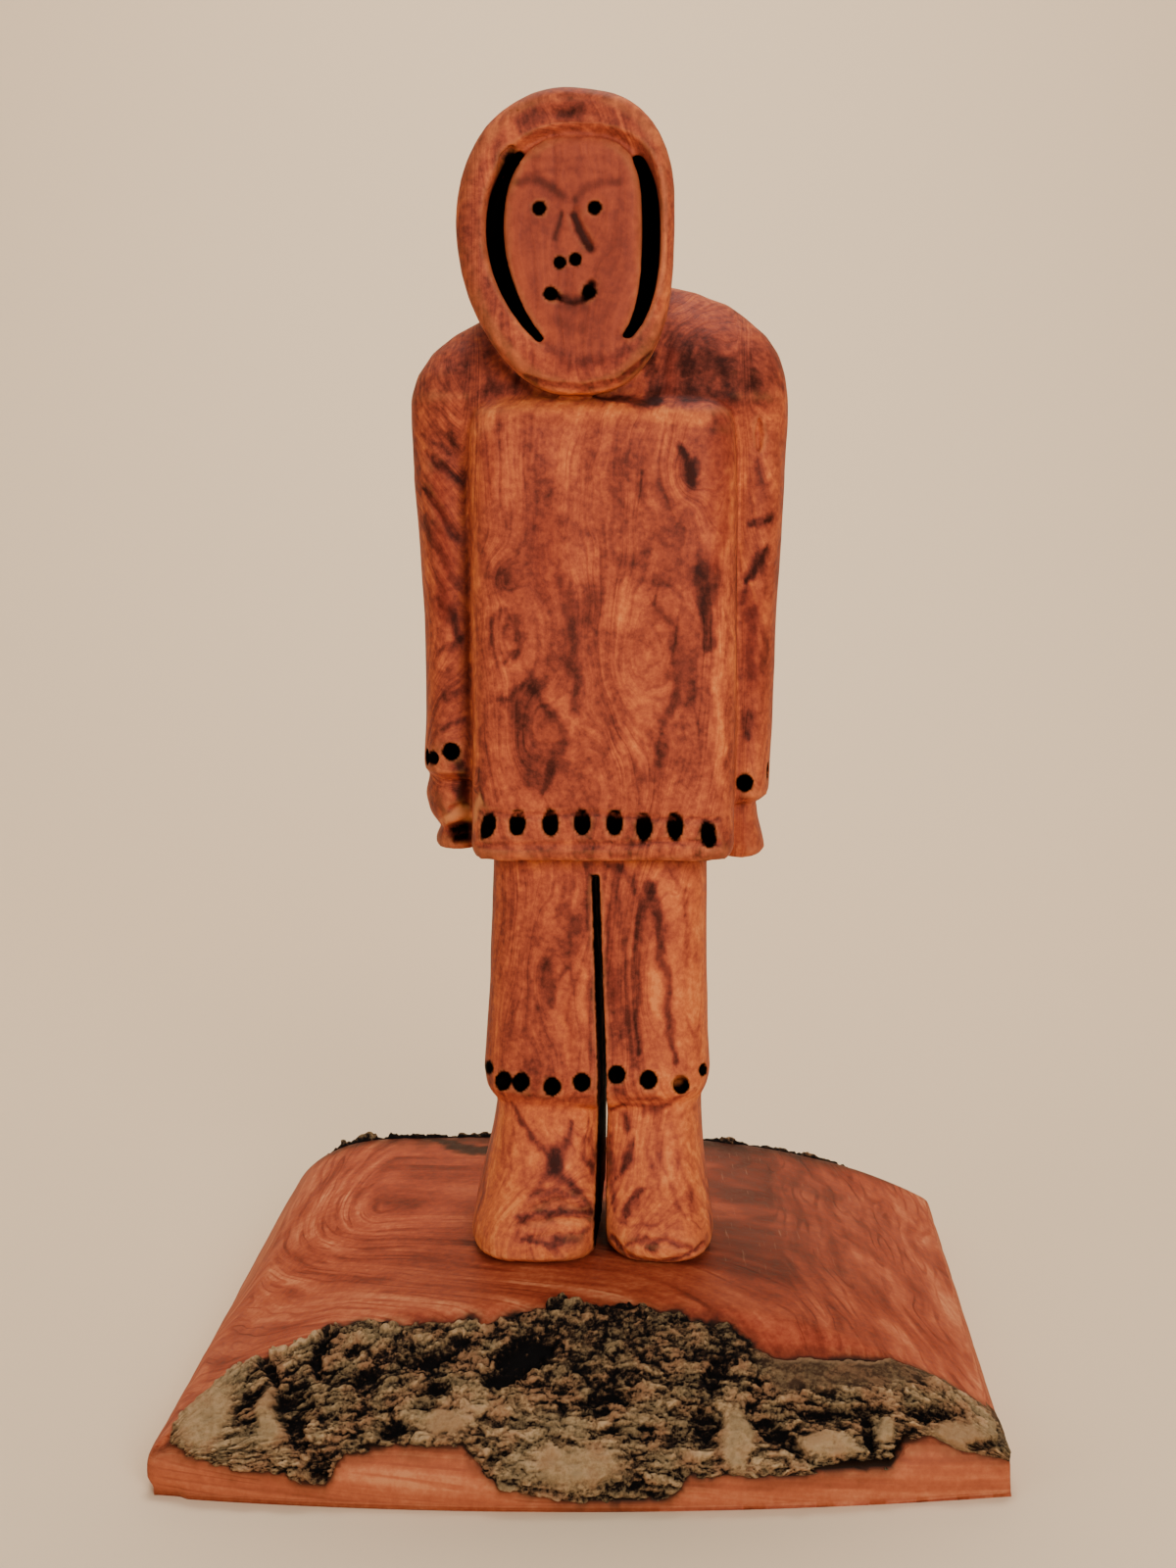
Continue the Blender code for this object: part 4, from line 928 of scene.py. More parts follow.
def mark_figure(piece):
    """Works out the figure's attributes: dark, pale and red figure; painted shade, rubbing and rings.

    Some of the dark and pale marks are painted shadows and highlights, and the painted shade lies down
    in the holes, the slots, the saw cut and the creases.
    """
    points, normals, edges = points_of(piece), normals_of(piece), edges_of(piece)
    height = points[:, 2]
    on_face = 1 - ramp(in_opening(seen_from_front(points)), 0.75, 1.15)
    ragged = np.stack([cloud(points, 2.6, seed, 1.6) for seed in (5, 6)], axis=1) * 0.9
    ragged += np.stack([cloud(points, 0.9, seed, 1.8) for seed in (7, 8)], axis=1) * 0.5
    places = seen_from_front(points) + ragged * (1 - 0.6 * on_face)[:, None]
    front = ramp(-normals[:, 1], 0.0, 0.35)
    blocked = hidden_share(piece, OPEN_REACH)
    blocked = relax(blocked[:, None], edges, 2)[:, 0]
    eased = relax(points, edges, 12)
    proud = np.einsum("ij,ij->i", points - eased, normals)
    dark = painted(places, DARK_MARKS, 0.1, 1.8) * front
    pale = painted(places, PALE_MARKS, 0.0, 2.0) * front
    red = painted(places, RED_MARKS, 0.0, 2.0) * front
    # the boots and the forehead are of paler wood; the right leg and the right sleeve are partly paler wood
    # and partly painted light, lighter on the figure's right side
    boots = 1 - ramp(height, 50.0, 57.0)
    right_leg = ramp(places[:, 0], 8.0, 16.0) * (1 - ramp(height, 92.0, 97.0))
    right_sleeve = ramp(places[:, 0], 26.0, 29.0) * (1 - ramp(height, 172.0, 184.0))
    forehead = on_face * ramp(height, 204.0, 214.0)
    for share, strength in (
        (boots * front, 0.95),
        (right_leg * front, 0.95),
        (right_sleeve * front, 0.5),
        (forehead, 0.3),
    ):
        pale = np.maximum(pale, strength * share)
    pale = pale * (1 - np.minimum(1.5 * dark, 1.0))
    # the back, out of sight, has plain dark and pale streaks
    behind = 1 - front
    streak = cloud(points, 3.2, 9, 5.0)
    dark = np.maximum(dark, behind * 0.45 * ramp(streak, 0.10, 0.55))
    pale = np.maximum(pale, behind * 0.35 * ramp(-streak, 0.15, 0.6))
    # painted shade: black down in the holes, the slots and the saw cut, where shade falls
    deep_shade = deep_shade_of(points, cloud(points, 0.8, 10) * 0.16, blocked)
    keep(piece, "calm", on_face * (points[:, 1] < FACE_Y + 5.0))
    broken = painted(places, FRESH_BREAKS, 0.3, 1.5) * front
    # crease: painted shade, with dirt, in creases and recesses: darker where the open space round a place is
    # blocked
    crease = ramp(blocked, 0.28, 0.85) * (1 - 0.8 * pale * front) * (1 - 0.8 * broken)
    wear = np.maximum(ramp(proud, 0.05, 0.22), 3.6 * broken)
    keep(piece, "figure", np.stack([dark, pale, red], axis=1))
    keep(piece, "state", np.stack([deep_shade, wear, crease], axis=1))
    keep(piece, "rings", grain_field(points))


def end_share(x):
    """How far out each place is towards the slab's ends, from 0 in the middle to 1."""
    return np.abs(2 * x / SLAB_LENGTH)


def top_height(x, y):
    """The slab's top: level in the middle, falling away to the sawn ends."""
    share = ramp(y, -30.0, 50.0)
    power = END_FALL_POWER + (np.where(x < 0, STEEP_POWER, GENTLE_POWER) - END_FALL_POWER) * share
    return SLAB_THICKNESS - END_FALL * end_share(x) ** power


def edge_places(x, side):
    """The foot, the crest and the height of the strip along one natural edge at x."""
    foot = side * (SLAB_DEPTH / 2 - EDGE_BOW * end_share(x) ** 2)
    rise = SLAB_THICKNESS - STRIP_HEIGHT
    crest = side * TOP_EDGE_Y
    crest = foot + (crest - foot) * (top_height(x, crest) - STRIP_HEIGHT) / rise
    crest_z = top_height(x, crest)
    return foot, crest, crest_z, np.minimum(STRIP_HEIGHT, crest_z - 1.0)


def edge_y(x, z, side):
    """How far out the natural edge stands at this height, without its bark's lumps."""
    foot, crest, crest_z, strip = edge_places(x, side)
    share = np.clip((z - strip) / np.maximum(crest_z - strip, 0.5), 0.0, 1.0)
    swell = LOG_BULGE * 4 * share * (1 - share) * (crest_z - strip) / (SLAB_THICKNESS - STRIP_HEIGHT)
    return foot + (crest - foot) * share + side * swell


def border(table, x):
    """A border's other measure at each x."""
    return np.interp(x, [place[0] for place in table], [place[1] for place in table])


def along_slab(points):
    """How far along the slab each place is, square to its depth, for ends that are sawn askew."""
    return points[:, 0] - END_SKEW * points[:, 1]


def bark_cover(points, side):
    """How far inside the bark's ragged upper and lower borders each place lies, in millimetres."""
    upper, lower = BORDERS[side]
    x = along_slab(points)
    rough = clouds(points, (1.5, 3.4, 11), (0.8, 1.2, 12))
    rough *= 1 - 0.7 * ramp(x, 27.0, 33.0)
    below_top = side * (points[:, 1] - border(upper, x)) + rough
    above_foot = points[:, 2] - border(lower, x) + 0.7 * rough
    return below_top, above_foot


def wear_corner(points):
    """Wears the slab's front left corner round at the bottom."""
    x, y, z = points.T
    worn = ramp(3.4 - z, 0.0, 3.4) * ramp(-y, 50.0, 62.0) * ramp(-x, 66.0, 70.0)
    points[:, 0] += 1.5 * worn
    points[:, 1] += 0.6 * worn


def shape_slab():
    """The slab's wood: true planes and slopes, edges eased, and a bed sunk for the bark."""
    piece = closed_copy("base_slab", "live_edge_slab")
    finish_with(piece, "REMESH", mode="VOXEL", voxel_size=SLAB_VOXEL * MM)
    edges = edges_of(piece)
    points = points_of(piece)
    # the underside is made flat again, and the sides and the ends are put back on their true courses
    points[points[:, 2] < UNDERSIDE_Z, 2] = 0.0
    x = along_slab(points)
    for side in BORDERS:
        foot, crest, _, _ = edge_places(x, side)
        on_edge = (side * points[:, 1] > side * crest - 0.2) & (points[:, 2] > 0.0)
        points[on_edge, 1] = edge_y(x[on_edge], points[on_edge, 2], side)
        at_foot = (side * points[:, 1] > side * foot - 0.6) & (points[:, 2] == 0.0)
        points[at_foot, 1] = foot[at_foot]
        at_end = side * x > SLAB_LENGTH / 2 - 0.6
        points[at_end, 0] = side * SLAB_LENGTH / 2 + END_SKEW * points[at_end, 1]
    normals = normals_of(piece)
    front_crest, back_crest = (edge_places(x, side)[1] for side in BORDERS)
    level = (points[:, 1] > front_crest) & (points[:, 1] < back_crest) & (normals[:, 2] > 0.5)
    level &= points[:, 2] > 5.0
    points[level, 2] = top_height(x[level], points[level, 1])
    hold = ramp(points[:, 2], 0.3, 2.6)[:, None]
    points = relax(points, edges, 14, 0.5 * hold)
    wear_corner(points)
    move_points(piece, points)
    normals = normals_of(piece)
    for side in BORDERS:
        near = np.flatnonzero((side * points[:, 1] > BED_FROM_Y) & (points[:, 2] > 0.4))
        inside = np.minimum(*bark_cover(points[near], side))
        points[near] -= normals[near] * (BARK_BED * ramp(inside, 0.8, 3.0))[:, None]
    wander = cloud(points, 16.0, 13) * 0.2 * ramp(points[:, 2], 5.0, 9.0)
    points = points + normals * wander[:, None]
    move_points(piece, points)
    held = 0.3 + 0.6 * ramp(normals[:, 2], -0.2, 0.4)
    held = np.maximum(held, 0.95 * (np.abs(normals[:, 2]) < 0.98) * (points[:, 2] < 1.0))
    thin_out(piece, SLAB_TRIANGLES, held)
    return piece


def slab_rings(points, side_on):
    """The slab's growth layers: nested arcs at the left, level in the middle, steep at the right.

    Down the sides, where side_on is near 1, they lie level.
    """
    x, y, z = points.T
    drift = clouds(points, (4.0, 30.0, 14, 1.0, 1.5), (1.6, 11.0, 15, 1.0, 2.4), (0.35, 4.0, 32, 1.0, 3.0))
    v = y - 2.0 + 0.22 * (x + 30.0) + drift
    v = np.where(v > 0, 0.38 * v, v)
    spread = 1.0 + 0.014 * np.clip(x + 45.0, 0.0, 60.0)
    tip = np.minimum(x + 41.0 + 0.5 * drift, 0.0)
    right = np.maximum(x - 34.0 + 0.6 * drift, 0.0)
    from_top = np.sqrt((v / spread) ** 2 + (1.6 * tip) ** 2 + 9.0) * (1 - 0.8 * ramp(x, 2.0, 48.0))
    from_top = from_top - 0.9 * right - 0.06 * v * ramp(x, 20.0, 48.0)
    return from_top * (1 - side_on) + (1.3 * z + 0.03 * x + 0.6 * drift) * side_on


def mark_slab(piece):
    """Works out the slab's attributes: under the bark, pale wood and dark wood; rings."""
    points, normals = points_of(piece), normals_of(piece)
    x = along_slab(points)
    y, z = points[:, 1], points[:, 2]
    # the bark's bed is dark, and the wood in front of it is darker
    under = np.zeros(len(points))
    for side, darkening, reach in DARKER_BEFORE_BARK:
        near = np.flatnonzero(side * y > DARKER_FROM_Y)
        inside = np.minimum(*bark_cover(points[near], side))
        frayed = inside + 0.2 * reach * cloud(points[near], 3.0, 38)
        bed = np.maximum(ramp(inside, -0.5, 0.7), darkening * ramp(frayed, -reach, -0.2))
        under[near] = np.maximum(under[near], bed)
    frayed = np.stack([x + cloud(points, 2.0, 35), y + cloud(points, 1.6, 36) * 1.4], axis=1)
    under = np.maximum(under, painted(frayed, BARK_POCKET, 0.5, 1.5) * (z > 15.0))
    side_on = ramp(np.hypot(normals[:, 0], normals[:, 1]), 0.62, 0.85)
    uneven = clouds(points, (8.0, 16.0, 16), (4.0, 5.0, 33))
    # pale wood: at both ends, along the right rim, down the sides, at the back left and the front
    pale = np.maximum.reduce([
        0.55 * (1 - ramp(x + uneven, -60.0, -36.0)) + 0.5 * ramp(x + uneven, 42.0, 60.0),
        ramp(x + 0.1 * uneven, 62.0, 67.5),
        0.8 * side_on,
        0.5 * ramp(y + uneven, 8.0, 34.0) * (1 - ramp(x + uneven, -26.0, -8.0)),
        0.95 * (1 - ramp(y + uneven, -40.0, -22.0)) * (1 - ramp(np.abs(x + 14.0), 24.0, 42.0)),
    ])
    # dark wood: a ragged patch to the right of the feet and behind them
    dark = ramp(x + uneven, 8.0, 30.0) * (1 - ramp(x + uneven, 34.0, 58.0)) * ramp(y + uneven, -44.0, -16.0)
    dark = dark * (0.65 + 0.35 * ramp(cloud(points, 3.0, 34, wide=2.0), -0.4, 0.4)) * (1 - side_on)
    dark = dark * (0.85 + 0.5 * (1 - ramp(x, 24.0, 38.0)))
    keep(piece, "figure", np.stack([under, pale, dark], axis=1))
    keep(piece, "rings", slab_rings(points, side_on))
    keep(piece, "calm", 0.4 * side_on)


def in_spot(x, z, spot):
    """How strongly an oval spot covers each place, from 0 outside it to 1 in its middle."""
    spot_x, spot_z, wide, tall, turn = spot
    lean = math.radians(turn)
    across = (x - spot_x) * math.cos(lean) + (z - spot_z) * math.sin(lean)
    rise = (z - spot_z) * math.cos(lean) - (x - spot_x) * math.sin(lean)
    return 1 - ramp(np.sqrt((across / wide) ** 2 + (rise / tall) ** 2), 0.6, 1.15)


def chunks(lie, wide, tall, seed):
    """Ragged pieces, each a cell: how far from a crack each place is, its piece's number and tilt."""
    u, v = lie[:, 0] / wide, lie[:, 1] / tall
    nearest, second = np.full(len(u), 9.0), np.full(len(u), 9.0)
    number, tilt = np.zeros(len(u)), np.zeros(len(u))
    for step in range(9):
        column, row = np.floor(u) + step % 3 - 1, np.floor(v) + step // 3 - 1
        place = np.abs(np.sin(column * 127.1 + row * 311.7 + seed * 74.7) * 4375.85) % 1
        level = np.abs(np.sin(column * 269.5 + row * 183.3 + seed * 12.9) * 4375.85) % 1
        away = np.hypot(column + place - u, row + level - v)
        closer = away < nearest
        second = np.where(closer, nearest, np.minimum(second, away))
        number = np.where(closer, (place * 7.31 + level * 3.17) % 1, number)
        tilt = np.where(closer, (v - row - level) * (place - 0.5) * 2, tilt)
        nearest = np.minimum(nearest, away)
    return second - nearest, number, tilt


def flaked(lie):
    """Bark built up of ragged chunks that have broken away to different depths, with cracks.

    lie is how far along the edge and how far up it each place is. It gives the height, how deep in
    a crack each place is, and a tone that differs from chunk to chunk.
    """
    torn = lie.copy()
    for column, sway in ((0, 1.6), (1, 0.8)):
        torn[:, column] += clouds(lie, (sway, 2.6, 21 + column), (0.4 * sway, 0.9, 23 + column))
    height = 0.9 * cloud(lie, 9.0, 26, wide=1.6)
    tone = np.zeros(len(lie))
    crack = np.zeros(len(lie))
    for wide, tall, rise, share in CHUNKS:
        gap, number, tilt = chunks(torn, wide, tall, wide)
        height = height + rise * (number - 0.5) + 0.45 * rise * tilt
        tone += share * number
        crack = np.maximum(crack, (1 - ramp(gap, 0.0, 0.22)) * rise)
    return height - 0.9 * crack, crack, tone


def lay_bark(name, side, gaps, plates, columns, rows):
    """One natural edge's bark: a grid laid over the edge, raised in ragged flakes."""
    piece = grid_piece(name, columns, rows)
    flat = points_of(piece) * MM
    x = flat[:, 0] * BARK_LENGTH
    _, crest, crest_z, strip = edge_places(x, side)
    # the run up the edge: the strip, then the slope, then a little way in over the top
    strip_run, slope_run, top_run = BARK_RUNS
    along = (flat[:, 1] + 0.5) * (strip_run + slope_run + top_run)
    on_slope = strip + (crest_z - strip) * (along - strip_run) / slope_run
    z = np.where(along < strip_run, strip * along / strip_run, on_slope)
    y = edge_y(x, z, side)
    over = np.maximum(along - strip_run - slope_run, 0.0)
    y = np.where(over > 0, crest - side * over, y)
    z = np.where(over > 0, top_height(x, y), z)
    points = np.stack([x + END_SKEW * y, y, z], axis=1)
    move_points(piece, points)
    if side > 0:
        edit_all(piece, (bpy.ops.mesh.flip_normals, {}))
    normals = normals_of(piece)
    normals = relax(normals, edges_of(piece), 12)
    normals /= np.linalg.norm(normals, axis=1)[:, None]

    below_top, above_foot = bark_cover(points, side)
    inside = np.minimum(below_top, above_foot)
    # the two edges lie far apart in the noise, so that they differ
    lie = np.stack([points[:, 0], along, np.full(len(x), 40.0 * side)], axis=1)
    layers, cracks, tone = flaked(lie)
    grains = cloud(points, 1.0, 24, wide=1.7) * 0.5 + cloud(points, 0.5, 25, wide=1.5) * 0.5
    lumps = cloud(points, 4.6, 26)
    pits = cloud(points, 1.4, 37)
    # the upper middle of the front edge is dark and mossy, with finer, rougher relief
    moss_and_shade = ramp(x + 4 * lumps, -17.0, -9.0) * (1 - ramp(x + 4 * lumps, 25.0, 33.0))
    moss_and_shade *= ramp(z + 2 * lumps, 14.5, 19.5)
    height = 0.85 + layers * (1 - 0.35 * moss_and_shade) + grains * (0.32 + 0.50 * moss_and_shade)
    plate = np.zeros(len(x))
    for *spot, stand in plates:
        here = in_spot(x + lumps * 1.4, z + grains * 0.9 + lumps * 0.8, spot)
        plate = np.maximum(plate, here)
        height += (stand + 0.7 + 0.3 * grains + 0.45 * pits - height) * here * 0.85
    for *spot, depth in gaps:
        reach = min(spot[2], spot[3], 2.2)
        here = in_spot(x + reach * (lumps + grains), z + 0.7 * reach * (lumps - grains), spot)
        here = np.minimum(here * (1.3 - 0.75 * tone), 1.0)
        height -= here * (0.7 + 0.5 * (height + depth * 0.8))
        plate *= 1 - here
    # a whole plate has no cracks of its own, and one tone
    cracks = cracks * (1 - 0.75 * plate)
    tone = tone * (1 - 0.7 * plate) + 0.35 * plate
    sanded = np.zeros(len(x))
    lip = np.zeros(len(x))
    if side < 0:
        # the right of the front edge was sanded off near the top, down to a pale lip
        sanded = ramp(x + lumps, 27.0, 33.0) * (1 - ramp(below_top + 0.8 * lumps, 3.6, 5.6))
        lip = (1 - ramp(below_top, 0.6, 1.6)) * ramp(x, 28.0, 34.0)
    height = height * (1 - sanded) + (0.25 + 0.35 * grains) * sanded
    height = (BARK_SUNK + np.clip(height, -1.4, 1.7)) * ramp(inside, -0.2, 1.1) - BARK_SUNK
    at_end = 0.25 + 0.75 * ramp(BARK_LENGTH / 2 - np.abs(x), 0.0, 3.0)
    height = np.where(height > 0, height * at_end, height)
    points = points + normals * height[:, None]
    points[:, 2] = np.maximum(points[:, 2], 0.15)
    wear_corner(points)
    move_points(piece, points)
    keep(piece, "relief", np.stack([height, tone, cracks], axis=1))
    # the dark zone is the moss on the front edge, and painted shade all over the back edge's bark
    dark = moss_and_shade if side < 0 else np.full(len(x), BACK_BARK_SHADE)
    keep(piece, "zones", np.stack([dark, plate, sanded], axis=1))
    keep(piece, "lip", lip)
    # close the piece: its outline is drawn in behind the bark and filled
    inwards = {"value": (0.0, -side * BARK_DEPTH * MM, 0.0)}
    edit_all(
        piece,
        (bpy.ops.mesh.region_to_loop, {}),
        (bpy.ops.mesh.extrude_region_move, {"TRANSFORM_OT_translate": inwards}),
        (bpy.ops.mesh.edge_face_add, {}),
    )
    return piece


def linear(code):
    """A colour from its sRGB hex code."""
    values = [int(code[i : i + 2], 16) / 255 for i in (1, 3, 5)]
    return tuple(v / 12.92 if v <= 0.04045 else ((v + 0.055) / 1.055) ** 2.4 for v in values) + (1.0,)


def add(tree, kind, inputs, stops=(), **settings):
    """Adds a node with its settings, its inputs as values or links, and a ramp's colour stops.

    It gives the node's outputs.
    """
    made = tree.nodes.new("ShaderNode" + kind)
    for name, value in settings.items():
        setattr(made, name, value)
    for socket, value in inputs.items():
        if isinstance(value, bpy.types.NodeSocket):
            tree.links.new(value, made.inputs[socket])
        else:
            made.inputs[socket].default_value = value
    for number, (place, code) in enumerate(stops):
        bar = made.color_ramp.elements
        stop = bar[number] if number < len(bar) else bar.new(place)
        stop.position, stop.color = place, linear(code)
    return made.outputs


def new_material(name):
    """An empty material and its node tree."""
    made = bpy.data.materials.new(name)
    made.use_nodes = True
    tree = made.node_tree
    tree.nodes.clear()
    return made, tree


def place_in_mm(tree):
    """The point's place on its piece, in millimetres."""
    place = add(tree, "TexCoord", {})["Object"]
    return add(tree, "VectorMath", {0: place, "Scale": 1000.0}, operation="SCALE")[0]


def tint(tree, share, colour, code, strength=1.0):
    """Lays a plain colour over another by this share."""
    if strength != 1.0:
        share = add(tree, "Math", {0: share, 1: strength}, operation="MULTIPLY")[0]
    return add(tree, "Mix", {"Factor": share, "A": colour, "B": linear(code)}, data_type="RGBA")["Result"]


def grown_noise(tree, rings, place, fineness, run, detail):
    """Noise drawn out along the growth layers: fineness across them, and run along them, per mm."""
    layers = add(tree, "Math", {0: rings, 1: fineness}, operation="MULTIPLY")[0]
    flow = add(tree, "VectorMath", {0: place, 1: run}, operation="MULTIPLY")[0]
    offset = add(tree, "CombineXYZ", {"X": layers})[0]
    spot = add(tree, "VectorMath", {0: flow, 1: offset}, operation="ADD")[0]
    return add(tree, "TexNoise", {"Vector": spot, "Scale": 1.0, "Detail": detail, "Roughness": 0.6})[0]


def wood_material(name, tones, run, weights, is_figure):
    """Bare wood rubbed with oil: bands, fibres and growth lines along the layers, on one colour scale.

    run is how far the pattern changes along each axis per millimetre, the least along the grain.
    """
    # Driftwood of a resinous, orange-red kind, cut with a knife and a saw, sanded, and rubbed with oil,
    # with no film on top. To the eye: a soft sheen with no mirror in it, colour that runs deep along
    # the growth layers, dark figure with torn edges, and paler rims where hands have worn it.
    made, tree = new_material(name)
    in_mm = place_in_mm(tree)
    rings = add(tree, "Attribute", {}, attribute_name="rings")["Fac"]
    # bands of early and late wood are 1 to 3 mm wide; the fibres, really 0.1 mm, are drawn at 0.4 mm
    fine = weights["fineness"]
    band = grown_noise(tree, rings, in_mm, 0.42 * fine, run, 2.0)
    fibre = grown_noise(tree, rings, in_mm, 2.1 * fine, tuple(3 * v for v in run), 4.0)
    layer = grown_noise(tree, rings, in_mm, 0.30 * fine, tuple(0.6 * v for v in run), 1.0)
    # mottling from pores and oil is about 1.2 mm across, and its broader blotches about 8 mm
    mottle = add(tree, "TexNoise", {"Vector": in_mm, "Scale": 0.8, "Detail": 6.0, "Roughness": 0.68})[0]
    blotch = add(tree, "TexNoise", {"Vector": in_mm, "Scale": 0.12, "Detail": 4.0, "Roughness": 0.6})[0]
    # a growth line stands wherever the slow layer noise passes one of several levels
    turned = add(tree, "Math", {0: layer, 1: 40.0}, operation="MULTIPLY")[0]
    wave = add(tree, "Math", {0: turned}, operation="SINE")[0]
    smooth = {"interpolation_type": "SMOOTHSTEP"}
    line = add(tree, "MapRange", {"Value": wave, "From Min": 0.45, "From Max": 1.0}, **smooth)[0]
    fade = add(tree, "MapRange", {"Value": blotch, "From Min": 0.38, "From Max": 0.62}, **smooth)[0]
    line = add(tree, "Math", {0: line, 1: fade}, operation="MULTIPLY")[0]
    figure = add(tree, "Attribute", {}, attribute_name="figure")["Vector"]
    first, pale, third = add(tree, "SeparateXYZ", {0: figure})
    tone = -0.5 * (weights["band"] + weights["fibre"] + weights["mottle"] + weights["blotch"])
    for value, weight in (
        (band, weights["band"]),
        (fibre, weights["fibre"]),
        (mottle, weights["mottle"]),
        (blotch, weights["blotch"]),
        (line, -weights["line"]),
    ):
        tone = add(tree, "Math", {0: value, 1: weight, 2: tone}, operation="MULTIPLY_ADD")[0]
    # calm places, such as the face, have less contrast and are a little darker
    calm = add(tree, "Attribute", {}, attribute_name="calm")["Fac"]
    lively = add(tree, "Math", {0: calm, 1: -0.55, 2: 1.0}, operation="MULTIPLY_ADD")[0]
    base = add(tree, "Math", {0: calm, 1: -0.09, 2: 0.54}, operation="MULTIPLY_ADD")[0]
    tone = add(tree, "Math", {0: tone, 1: lively, 2: base}, operation="MULTIPLY_ADD")[0]
    tone = add(tree, "Math", {0: pale, 1: weights["pale"], 2: tone}, operation="MULTIPLY_ADD")[0]
    # the dark figure breaks up along the fibres at its edges
    torn = mark = first if is_figure else third
    for value, weight in ((fibre, 0.9), (mottle, 0.4)):
        torn = add(tree, "Math", {0: value, 1: weight, 2: torn}, operation="MULTIPLY_ADD")[0]
    torn_range = {"Value": torn, "From Min": 0.6, "From Max": 1.6, "To Min": 0.3, "To Max": 1.2}
    torn = add(tree, "MapRange", torn_range)[0]
    dark = add(tree, "Math", {0: mark, 1: torn}, operation="MULTIPLY")[0]
    tone = add(tree, "Math", {0: dark, 1: -weights["dark"], 2: tone}, operation="MULTIPLY_ADD")[0]
    colour = add(tree, "ValToRGB", {0: tone}, stops=tones)[0]
    if is_figure:
        state = add(tree, "Attribute", {}, attribute_name="state")["Vector"]
        deep_shade, wear, crease = add(tree, "SeparateXYZ", {0: state})
        colour = tint(tree, third, colour, "#8a2a1a", 0.55)
        colour = tint(tree, wear, colour, "#d98a52", 0.22)
        # painted shade, with dirt, in creases and recesses
        colour = tint(tree, crease, colour, "#3c140b", 0.50)
        # painted shade: black down in the holes, the slots and the saw cut
        colour = tint(tree, deep_shade, colour, "#050201")
    else:
        # faint pale scratches where things were dragged over the slab's right half
        dragged = add(tree, "VectorMath", {0: in_mm, 1: (1.9, 0.11, 0.3)}, operation="MULTIPLY")[0]
        drag = add(tree, "TexNoise", {"Vector": dragged, "Scale": 1.0, "Detail": 2.0})[0]
        scratch = add(tree, "MapRange", {"Value": drag, "From Min": 0.66, "From Max": 0.74})[0]
        scratch = add(tree, "Math", {0: scratch, 1: third}, operation="MULTIPLY")[0]
        colour = tint(tree, third, colour, "#68372a", 0.50)
        colour = tint(tree, calm, colour, "#b8794f", 0.55)
        colour = tint(tree, scratch, colour, "#b98a68", 0.30)
        colour = tint(tree, first, colour, "#24150c")
    # fibres stand up and growth lines sink by a fifth of a millimetre at most
    height = add(tree, "Math", {0: mottle, 1: 0.5, 2: fibre}, operation="MULTIPLY_ADD")[0]
    height = add(tree, "Math", {0: line, 1: -0.3, 2: height}, operation="MULTIPLY_ADD")[0]
    bump = add(tree, "Bump", {"Height": height, "Strength": 0.5, "Distance": 0.0002})[0]
    dull_range = {"Value": mottle, "From Min": 0.3, "From Max": 0.7, "To Min": 0.48, "To Max": 0.64}
    dull = add(tree, "MapRange", dull_range)[0]
    gloss = 0.08
    if is_figure:
        # the painted shade in the holes and slots takes the sheen away
        gloss = add(tree, "Math", {0: deep_shade, 1: -0.08, 2: 0.09}, operation="MULTIPLY_ADD")[0]
    surface = {"Base Color": colour, "Roughness": dull, "Normal": bump, "IOR": 1.45}
    surface["Specular IOR Level"] = gloss
    shader = add(tree, "BsdfPrincipled", surface)[0]
    add(tree, "OutputMaterial", {"Surface": shader})
    return made


